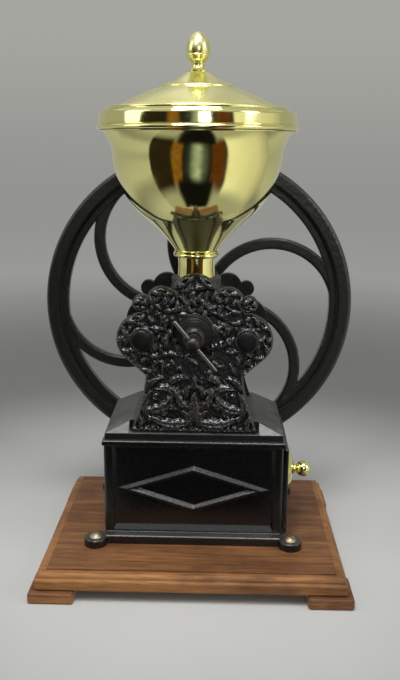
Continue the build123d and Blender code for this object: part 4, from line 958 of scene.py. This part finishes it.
@dataclass
class Cover:
    """The cast cover in front of the burr, with its boss, its bolts and the gland."""

    ground: float = -46.0
    back: float = -38.0
    half_width: float = 85.5
    low: float = 159.0
    high: float = 337.0
    cell: float = 0.85
    slope_step: float = 0.05
    full_rise: float = 4.5
    axis: Triple = (AXLE[0], 0.0, AXLE[1])
    relief: Relief = field(default_factory=Relief)

    def spots(self, verts: Sequence[bmesh.types.BMVert]) -> tuple[np.ndarray, np.ndarray]:
        """Gives the places across and up of verts of the lying grid."""
        at = np.array([vert.co[:2] for vert in verts]) + (0.0, (self.high + self.low) / 2)
        return at[:, 0], at[:, 1]

    def trim(self, made: Shape) -> None:
        """Cuts the lying grid to the outline and draws its edge onto it.

        Args:
            made: The grid.
        """
        depth = self.relief.inside(*self.spots(made.verts))
        outside = [vert for vert, inner in zip(made.verts, depth) if inner < -0.3 * self.cell]
        bmesh.ops.delete(made, geom=outside, context="VERTS")
        loose = [vert for vert in made.verts if not vert.link_faces]
        bmesh.ops.delete(made, geom=loose, context="VERTS")
        edge = [vert for vert in made.verts if vert.is_boundary]
        step = self.slope_step
        for _ in range(3):
            x, z = self.spots(edge)
            here = self.relief.inside(x, z)
            slope_x = (self.relief.inside(x + step, z) - here) / step
            slope_z = (self.relief.inside(x, z + step) - here) / step
            size = np.maximum(np.hypot(slope_x, slope_z), 0.3)
            for vert, depth_here, gx, gz, length in zip(edge, here, slope_x, slope_z, size):
                vert.co.x -= depth_here * gx / length
                vert.co.y -= depth_here * gz / length

    def plate(self) -> None:
        """Makes the plate: a fine grid cut to the outline, given its thickness and raised."""
        made = bmesh.new()
        layer = made.verts.layers.float.new("rise")
        across, up = self.half_width, (self.high - self.low) / 2
        bmesh.ops.create_grid(made, x_segments=round(2 * across / self.cell),
                              y_segments=round(2 * up / self.cell), size=1.0,
                              matrix=Matrix.Diagonal((across, up, 1.0, 1.0)))
        self.trim(made)
        grown = bmesh.ops.extrude_face_region(made, geom=list(made.faces))
        front = [part for part in grown["geom"] if isinstance(part, bmesh.types.BMVert)]
        rise = self.relief.heights(*self.spots(front))
        for vert in made.verts:
            vert.co.z = self.back
        for vert, height in zip(front, rise):
            vert.co.z = self.ground - height
            vert[layer] = float(height) / self.full_rise
        bmesh.ops.recalc_face_normals(made, faces=made.faces)
        middle = (self.high + self.low) / 2 * MM
        upright = Matrix(((MM, 0, 0, 0), (0, 0, MM, BOARD_Y), (0, MM, 0, middle), (0, 0, 0, 1)))
        bmesh.ops.transform(made, matrix=upright, verts=made.verts)
        bmesh.ops.recalc_face_normals(made, faces=made.faces)
        show("cover_relief", made, RELIEF_IRON, "front_plate", Body.FRAME, 60)

    def boss(self) -> None:
        """Makes the boss with its rings."""
        section = Profile().to((11.05, -38.0), (20.0, -38.0), (20.0, -50.4), (19.4, -51.2), (18.4, -51.4),
                               (17.9, -52.0), (17.9, -55.6)).arc((17.3, -57.0), (16.0, -57.6), 8)
        section.to((15.4, -57.7), (15.1, -58.4)).arc((14.7, -59.6), (13.6, -60.0), 6)
        section.to((10.05, -60.0), (10.05, -56.0), (11.05, -56.0))
        made = turned(section, Along.Y, self.axis, 96, closed=True)
        show("cover_boss", made, BOLT_IRON, "front_plate", Body.FRAME)

    def gland(self) -> None:
        """Makes the domed gland with a groove round its foot."""
        section = Profile().to((6.05, -56.0), (10.0, -56.0), (10.0, -60.0), (12.8, -60.0), (13.0, -60.3),
                               (13.0, -62.6), (12.3, -63.0), (12.3, -64.0), (12.8, -64.4), (12.8, -69.0))
        section.arc((11.8, -76.2), (8.6, -79.6), 14).to((8.0, -80.0), (6.05, -80.0))
        made = turned(section, Along.Y, self.axis, 72, closed=True)
        show("cover_gland", made, BOLT_IRON, "adjuster_gland", Body.FRAME)

    def bolts(self) -> None:
        """Makes the two bolts with their low domed heads."""
        made = bmesh.new()
        section = Profile().to((0.0, -14.0), (4.6, -14.0), (5.0, -14.6), (5.0, -50.0), (10.9, -50.0),
                               (11.3, -50.4), (11.3, -53.2))
        section.arc((10.8, -54.5), (9.8, -55.2), 6).arc((5.4, -55.9), (0.0, -56.0), 6)
        for side in (1, -1):
            turned(section, Along.Y, (side * BOLT[0], 0.0, BOLT[1]), 64, into=made)
        show("cover_bolt_heads", made, BOLT_IRON, "cover_bolts", Body.FRAME)

    def build(self) -> None:
        """Makes the pieces."""
        self.plate()
        self.boss()
        self.gland()
        self.bolts()


@dataclass
class Adjuster:
    """The adjusting screw and its tommy bar."""

    axis: Triple = (AXLE[0], 0.0, AXLE[1])
    end: float = -54.0
    head: float = 7.5
    groove: float = 6.9
    thread_end: float = -83.0
    pitch: float = 2.0
    tip: float = -106.0
    bar_radius: float = 2.0
    bar_length: float = 67.0
    bar_offset: float = 3.4
    bar_angle: float = -50.0
    bar_y: float = -99.0

    def screw(self) -> None:
        """Makes the screw with thread ridges on its stem and a ringed, domed head."""
        head, groove = self.head, self.groove
        section = Profile().to((0.0, self.end), (5.6, self.end), (5.9, self.end - 0.6))
        y = self.end - 0.8
        while y > self.thread_end:
            section.to((5.95, y), (5.35, y - 1.0))
            y -= self.pitch
        section.to((6.0, -83.6), (6.0, -84.0), (head - 0.4, -84.0), (head, -84.4), (head, -88.0),
                   (groove, -88.4), (groove, -89.4), (head, -89.8), (head, -100.6))
        section.arc((5.6, -104.4), (0.0, self.tip), 14)
        made = turned(section, Along.Y, self.axis, 64)
        show("screw", made, DARK_STEEL, "adjusting_screw", Body.ADJUSTER)

    def bar(self) -> None:
        """Makes the bar and lays it through the head."""
        half, r = self.bar_length / 2, self.bar_radius
        section = Profile().to((0.0, -half), (1.0, -half)).arc((r - 0.3, -half + 0.5), (r, -half + 1.5), 5)
        section.to((r, half - 1.5)).arc((r - 0.3, half - 0.5), (1.0, half), 5).to((0.0, half))
        made = turned(section, Along.X, ORIGIN, 32)
        lean = math.radians(self.bar_angle)
        home = Matrix.Translation(placed(self.bar_offset * math.cos(lean), self.bar_y,
                                         self.axis[2] + self.bar_offset * math.sin(lean)))
        swing = home @ Matrix.Rotation(-lean, 4, "Y") @ Matrix.Translation(-placed(*ORIGIN))
        bmesh.ops.transform(made, matrix=swing, verts=made.verts)
        show("screw_bar", made, BAR_STEEL, "tommy_bar", Body.ADJUSTER)

    def build(self) -> None:
        """Makes the pieces."""
        self.screw()
        self.bar()


@dataclass
class ThrustSpring:
    """The spring round the shaft, which shortens when the adjuster pushes the shaft back."""

    wire: float = 1.0
    turns: int = 4
    steps: int = 28
    sides: int = 12

    def coil(self, low: Vector, high: Vector) -> Shape:
        """Winds the wire.

        Args:
            low: The lowest corner of the spring's box, in metres.
            high: Its highest corner.

        Returns:
            The bmesh.
        """
        wire, count = self.wire * MM, self.turns * self.steps
        middle = (low + high) / 2
        rise = (high.y - low.y - 2 * wire) / count
        made = bmesh.new()
        bmesh.ops.create_circle(made, segments=self.sides, radius=wire,
                                matrix=Matrix.Translation((high.x - wire, low.y + wire, middle.z)))
        bmesh.ops.spin(made, geom=made.verts[:] + made.edges[:], cent=middle, axis=(0.0, -1.0, 0.0),
                       dvec=(0.0, rise, 0.0), angle=2 * math.pi * self.turns, steps=count)
        bmesh.ops.holes_fill(made, edges=[edge for edge in made.edges if edge.is_boundary], sides=0)
        bmesh.ops.recalc_face_normals(made, faces=made.faces)
        return made

    def build(self) -> None:
        """Makes the piece, dresses it and bakes its place into its mesh."""
        low, high = (Vector(corner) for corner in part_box("thrust_spring"))
        piece = show("spring_coil", self.coil(low, high), STEEL, "thrust_spring")
        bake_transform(piece)


@dataclass
class CrankGrip:
    """The turned wooden grip on the wheel."""

    z: float = 93.5
    front: float = 130.6
    length: float = 92.0
    bore: float = 5.05

    def build(self) -> None:
        """Makes the grip: a bead, a groove, the belly and a rounded end."""
        y0, y1 = self.front, self.front + self.length
        section = Profile().to((self.bore, y0), (9.6, y0)).arc((10.6, y0 + 1.6), (9.8, y0 + 3.4), 6)
        section.to((9.2, y0 + 3.8), (9.2, y0 + 4.6), (10.2, y0 + 5.2))
        section.arc((15.0, y0 + 55.0), (10.5, y1 - 7.0), 26).arc((9.9, y1 - 2.2), (8.3, y1), 8)
        section.to((self.bore, y1))
        made = turned(section, Along.Y, (0.0, 0.0, self.z), 64, closed=True)
        show("grip_wood", made, GRIP_WOOD, "handle_grip", Body.GRIP)


@dataclass
class DrawerKnob:
    """The brass rosette and ball knob of the drawer."""

    axis: Triple = (0.0, 9.0, 96.05)
    face: float = 105.6
    radius: float = 29.7
    height: float = 12.0
    ball: float = 9.2
    stem: float = 3.6
    stud: float = 3.0
    stud_end: float = 95.4

    def rosette(self) -> None:
        """Makes the rosette: a thin flange, a groove and a dome."""
        x, top, bore = self.face, self.face + self.height, self.stud + 0.05
        section = Profile().to((25.5, x), (29.3, x), (self.radius, x + 0.4), (self.radius, x + 1.0),
                               (29.2, x + 1.4), (27.2, x + 1.5), (26.9, x + 1.1), (26.5, x + 1.4))
        section.arc((16.0, x + 9.0), (7.0, top - 0.4), 18)
        section.to((6.6, top), (bore, top), (bore, top - 1.2), (6.0, top - 1.4))
        section.arc((15.4, x + 7.6), (25.5, x + 0.2), 16)
        made = turned(section, Along.X, self.axis, 96, closed=True)
        show("drawer_rosette", made, KNOB_BRASS, "knob_rosette", Body.DRAWER)

    def knob(self) -> None:
        """Makes the ball on its stem, with a small collar."""
        top = self.face + self.height
        neck = top + 2.5
        ball = neck + math.sqrt(self.ball ** 2 - self.stem ** 2)
        section = Profile().to((0.0, self.stud_end), (self.stud, self.stud_end), (self.stud, top), (5.2, top),
                               (5.2, top + 0.8), (3.8, top + 1.2), (self.stem, neck))
        section.arc((self.ball, ball), (0.0, ball + self.ball), 28)
        made = turned(section, Along.X, self.axis, 72)
        show("drawer_ball", made, KNOB_BRASS, "drawer_knob", Body.DRAWER)

    def build(self) -> None:
        """Makes the pieces."""
        self.rosette()
        self.knob()


@dataclass
class CastParts:
    """The CAD nodes that are shown as they are."""

    def build(self) -> None:
        """Gives every node its finish."""
        for finish, names in NODE_FINISHES.items():
            for name in names.split():
                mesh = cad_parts[name].data
                mesh.materials.clear()
                mesh.materials.append(finish.material())
                LOG.info("%s: %s", name, finish.name)


@dataclass(frozen=True)
class Lamp:
    """A soft lamp: its place, the point that it faces, its width and height in metres, its power in watts."""

    name: str
    at: Triple
    aim: Triple
    size: Pair
    power: float

    def build(self) -> None:
        """Hangs it."""
        data = bpy.data.lights.new(self.name, "AREA")
        data.shape = "RECTANGLE"
        data.size, data.size_y = self.size
        data.energy = self.power
        lamp = bpy.data.objects.new(self.name, data)
        lamp.location = self.at
        lamp.rotation_euler = (Vector(self.aim) - Vector(self.at)).to_track_quat("-Z", "Y").to_euler()
        bpy.context.scene.collection.objects.link(lamp)


@dataclass
class Studio:
    """Floor, light and camera."""

    floor: Colour = rgb(0.455, 0.455, 0.445)
    # The far floor colour is painted shade; the glows are painted light on the floor and wall.
    far_floor_painted_shade: Colour = rgb(0.165, 0.165, 0.158)
    low_glow: Colour = rgb(0.215, 0.215, 0.203)
    high_glow: Colour = rgb(0.31, 0.31, 0.29)
    mirrored_glow: Colour = rgb(0.34, 0.34, 0.315)
    mirrored_table: Colour = rgb(0.40, 0.40, 0.37)
    mirrored_dark: Colour = rgb(0.006, 0.006, 0.006)
    room: Colour = rgb(0.80, 0.81, 0.83)
    room_level: float = 0.32
    mirrored_level: float = 0.74
    radius: float = 3400.0
    cove: float = 1200.0
    wall: float = 3200.0
    screen_near: float = 160.0
    screen_far: float = 2200.0
    screen_low: float = 3.0
    screen_high: float = 1100.0
    ceiling: float = 2600.0
    lens: float = 41.915
    sensor: float = 36.0
    eye: Triple = (23.9, -871.91, 467.91)
    right: Triple = (0.99967, 0.02414, 0.00887)
    up: Triple = (-0.01438, 0.23839, 0.97106)
    ahead: Triple = (-0.02132, 0.97087, -0.23866)
    lamps: tuple[Lamp, ...] = (
        Lamp("overhead", (0.0, -0.60, 2.05), (0.0, -0.05, 0.25), (1.05, 0.75), 33),
        Lamp("key", (-0.45, -1.05, 1.55), (0.0, -0.05, 0.25), (0.30, 0.30), 5),
        Lamp("left", (-1.9, -0.6, 1.3), (0.0, 0.0, 0.3), (0.9, 1.5), 7),
        Lamp("right", (1.9, -0.9, 1.2), (0.0, 0.0, 0.3), (0.7, 1.4), 12),
        Lamp("front", (0.30, -2.1, 0.95), (0.0, 0.0, 0.3), (0.40, 0.30), 4))

    def stage(self) -> None:
        """Turns a floor that sweeps up into a round wall."""
        edge = self.radius + self.cove
        section = Profile().to((0.0, 0.0), (self.radius, 0.0))
        section.arc((self.radius + self.cove * 0.707, self.cove * 0.293), (edge, self.cove), 16)
        section.to((edge, self.wall))
        made = turned(section, Along.Z, ORIGIN, 96)
        bmesh.ops.reverse_faces(made, faces=made.faces)
        graph = Graph("floor")
        flat = graph.stretched(1.0, 1.0, 0.0)
        away = graph.measure("LENGTH", flat) + (graph.noise(3.0, 2) - 0.5) * 0.1
        # Painted shade: the floor and wall darken away from the middle.
        tone = graph.mix(away.between(0.17, 0.66), self.floor, self.far_floor_painted_shade)
        # Painted light: the wall glows brighter with height and not at all near the middle; glossy rays see a
        # brighter glow further out.
        glow = graph.mix(graph.axis("Z").between(0.1, 1.3), self.low_glow, self.high_glow)
        mirrored = graph.node("ShaderNodeLightPath", output="Is Glossy Ray")
        glow = graph.mix(away.between(0.7, 2.2), BLACK, glow)
        glow = graph.mix(mirrored * away.between(0.4, 1.0), glow, self.mirrored_glow)
        graph.finish(Base_Color=tone, Roughness=0.8, Specular_IOR_Level=0.2, Emission_Color=glow,
                     Emission_Strength=1.0)
        floor = object_of("floor", made, graph.material)

    def light(self) -> None:
        """Hangs the lamps and sets the room's own light."""
        for lamp in self.lamps:
            lamp.build()
        world = bpy.data.worlds.new("room")
        world.use_nodes = True
        nodes = Nodes(world.node_tree)
        mirrored = nodes.node("ShaderNodeLightPath", output="Is Glossy Ray")
        level = nodes.node("ShaderNodeMapRange", {}, {"Value": mirrored, "To Min": self.room_level,
                                                      "To Max": self.mirrored_level})
        back = world.node_tree.nodes["Background"]
        nodes.feed(back.inputs["Color"], self.room)
        nodes.feed(back.inputs["Strength"], level)
        bpy.context.scene.world = world

    def screen(self, name: str, section: Profile, tones: Sequence[tuple[float, Colour]], near: float,
               even: float) -> None:
        """Bends a screen round the middle, which only mirrors show.

        Args:
            name: Its name.
            section: Its section, out from the middle.
            tones: Its colours by angle in degrees, 0 in front and more to the right, from end to end.
            near: The distance within which it shows the table, dark in the middle, in metres.
            even: The angle from which its colours aren't clouded, in degrees.
        """
        low, high = tones[0][0], tones[-1][0]
        made = turned(section, Along.Z, ORIGIN, 48, angle=high - low)
        bmesh.ops.rotate(made, cent=placed(*ORIGIN), verts=made.verts,
                         matrix=Matrix.Rotation(math.radians(low - 90.0), 3, "Z"))
        graph = Graph(name)
        moved = graph.node("ShaderNodeMapping", {}, {"Vector": graph.place, "Location": (0.0, -BOARD_Y, 0.0)})
        middle = math.radians(low + high) / 2
        ahead, aside = graph.axis("Y", moved) * -1.0, graph.axis("X", moved)
        turn = graph.node("ShaderNodeMath", {"operation": "ARCTAN2"}, {
            0: aside * math.cos(middle) - ahead * math.sin(middle),
            1: aside * math.sin(middle) + ahead * math.cos(middle)})
        stops = [((angle - math.degrees(middle)) / 180.0 + 0.5, colour) for angle, colour in tones]
        bands = graph.node("ShaderNodeValToRGB", {"stops": stops}, {0: turn * (1.0 / math.pi) + 0.5})
        cloud = graph.noise(4.0, 3, 0.6).between(0.25, 0.75)
        clouded = math.radians(even) - middle
        dim = (1.0 - turn.between(clouded - 0.05, clouded)) * (0.5 - cloud * 0.5)
        aslant = abs(turn + middle).between(0.42, 0.60)
        table = graph.mix(aslant, self.mirrored_dark, self.mirrored_table)
        far = (graph.measure("LENGTH", moved) + aslant * 0.20).between(near, near + 0.25)
        bands = graph.mix(1.0 - far, graph.mix(dim, bands, self.mirrored_dark), table)
        graph.finish(Base_Color=BLACK, Roughness=1.0, Specular_IOR_Level=0.0, Emission_Color=bands,
                     Emission_Strength=1.0)
        screen = object_of(name, made, graph.material)
        for rays in ("camera", "diffuse", "shadow", "transmission"):
            setattr(screen, "visible_" + rays, False)

    def screens(self) -> None:
        """Gives the brass a room to mirror: a dark side with bright streaks and a streaked ceiling behind."""
        front = Profile().to((self.screen_near, self.screen_low), (self.screen_far, self.screen_low),
                             (self.screen_far, self.screen_high))
        self.screen("dark_screen", front, (
            (-64, rgb(0.030, 0.022, 0.010)), (-34, rgb(0.030, 0.020, 0.010)), (-31, rgb(0.330, 0.150, 0.020)),
            (-20, rgb(0.300, 0.130, 0.020)), (-17, rgb(0.012, 0.014, 0.012)), (-9, rgb(0.035, 0.045, 0.040)),
            (3, rgb(0.650, 0.760, 0.740)), (10, rgb(0.140, 0.170, 0.160)), (18, rgb(0.010, 0.012, 0.010)),
            (22, rgb(0.150, 0.045, 0.008)), (37, rgb(0.130, 0.040, 0.008)), (40, rgb(0.020, 0.014, 0.008)),
            (43, rgb(1.000, 0.980, 0.800)), (90, rgb(0.720, 0.700, 0.600)), (110, rgb(0.400, 0.390, 0.340))),
            near=0.50, even=42.0)
        self.screen("ceiling", Profile().to((200.0, self.ceiling), (2900.0, self.ceiling)), (
            (95, rgb(0.35, 0.34, 0.30)), (118, rgb(0.62, 0.60, 0.54)), (134, rgb(0.30, 0.29, 0.26)),
            (152, rgb(0.72, 0.71, 0.64)), (170, rgb(0.48, 0.47, 0.43)), (186, rgb(1.05, 1.03, 0.95)),
            (206, rgb(0.62, 0.61, 0.56)), (226, rgb(1.00, 0.98, 0.90)), (248, rgb(0.55, 0.54, 0.49)),
            (265, rgb(0.80, 0.78, 0.72))), near=0.0, even=95.0)

    def camera(self) -> None:
        """Puts the camera where the picture was taken from."""
        data = bpy.data.cameras.new("camera")
        data.lens = self.lens
        data.sensor_width = self.sensor
        data.clip_start, data.clip_end = 0.01, 100.0
        camera = bpy.data.objects.new("camera", data)
        turn = Matrix((self.right, self.up, tuple(-v for v in self.ahead))).transposed()
        camera.matrix_world = Matrix.Translation(placed(*self.eye)) @ turn.to_4x4()
        bpy.context.scene.collection.objects.link(camera)
        bpy.context.scene.camera = camera

    def build(self) -> None:
        """Sets the whole studio up."""
        self.stage()
        self.light()
        self.screens()
        self.camera()
        bpy.context.scene.view_settings.view_transform = "Standard"


def main() -> None:
    """Builds the mill's pieces in order, then the studio."""
    logging.basicConfig(level=logging.INFO, format="%(message)s")
    for part in (CastParts(), Hopper(), Lid(), Cover(), Adjuster(), ThrustSpring(), CrankGrip(),
                 DrawerKnob(), Studio()):
        part.build()


if __name__ == "__main__":
    main()
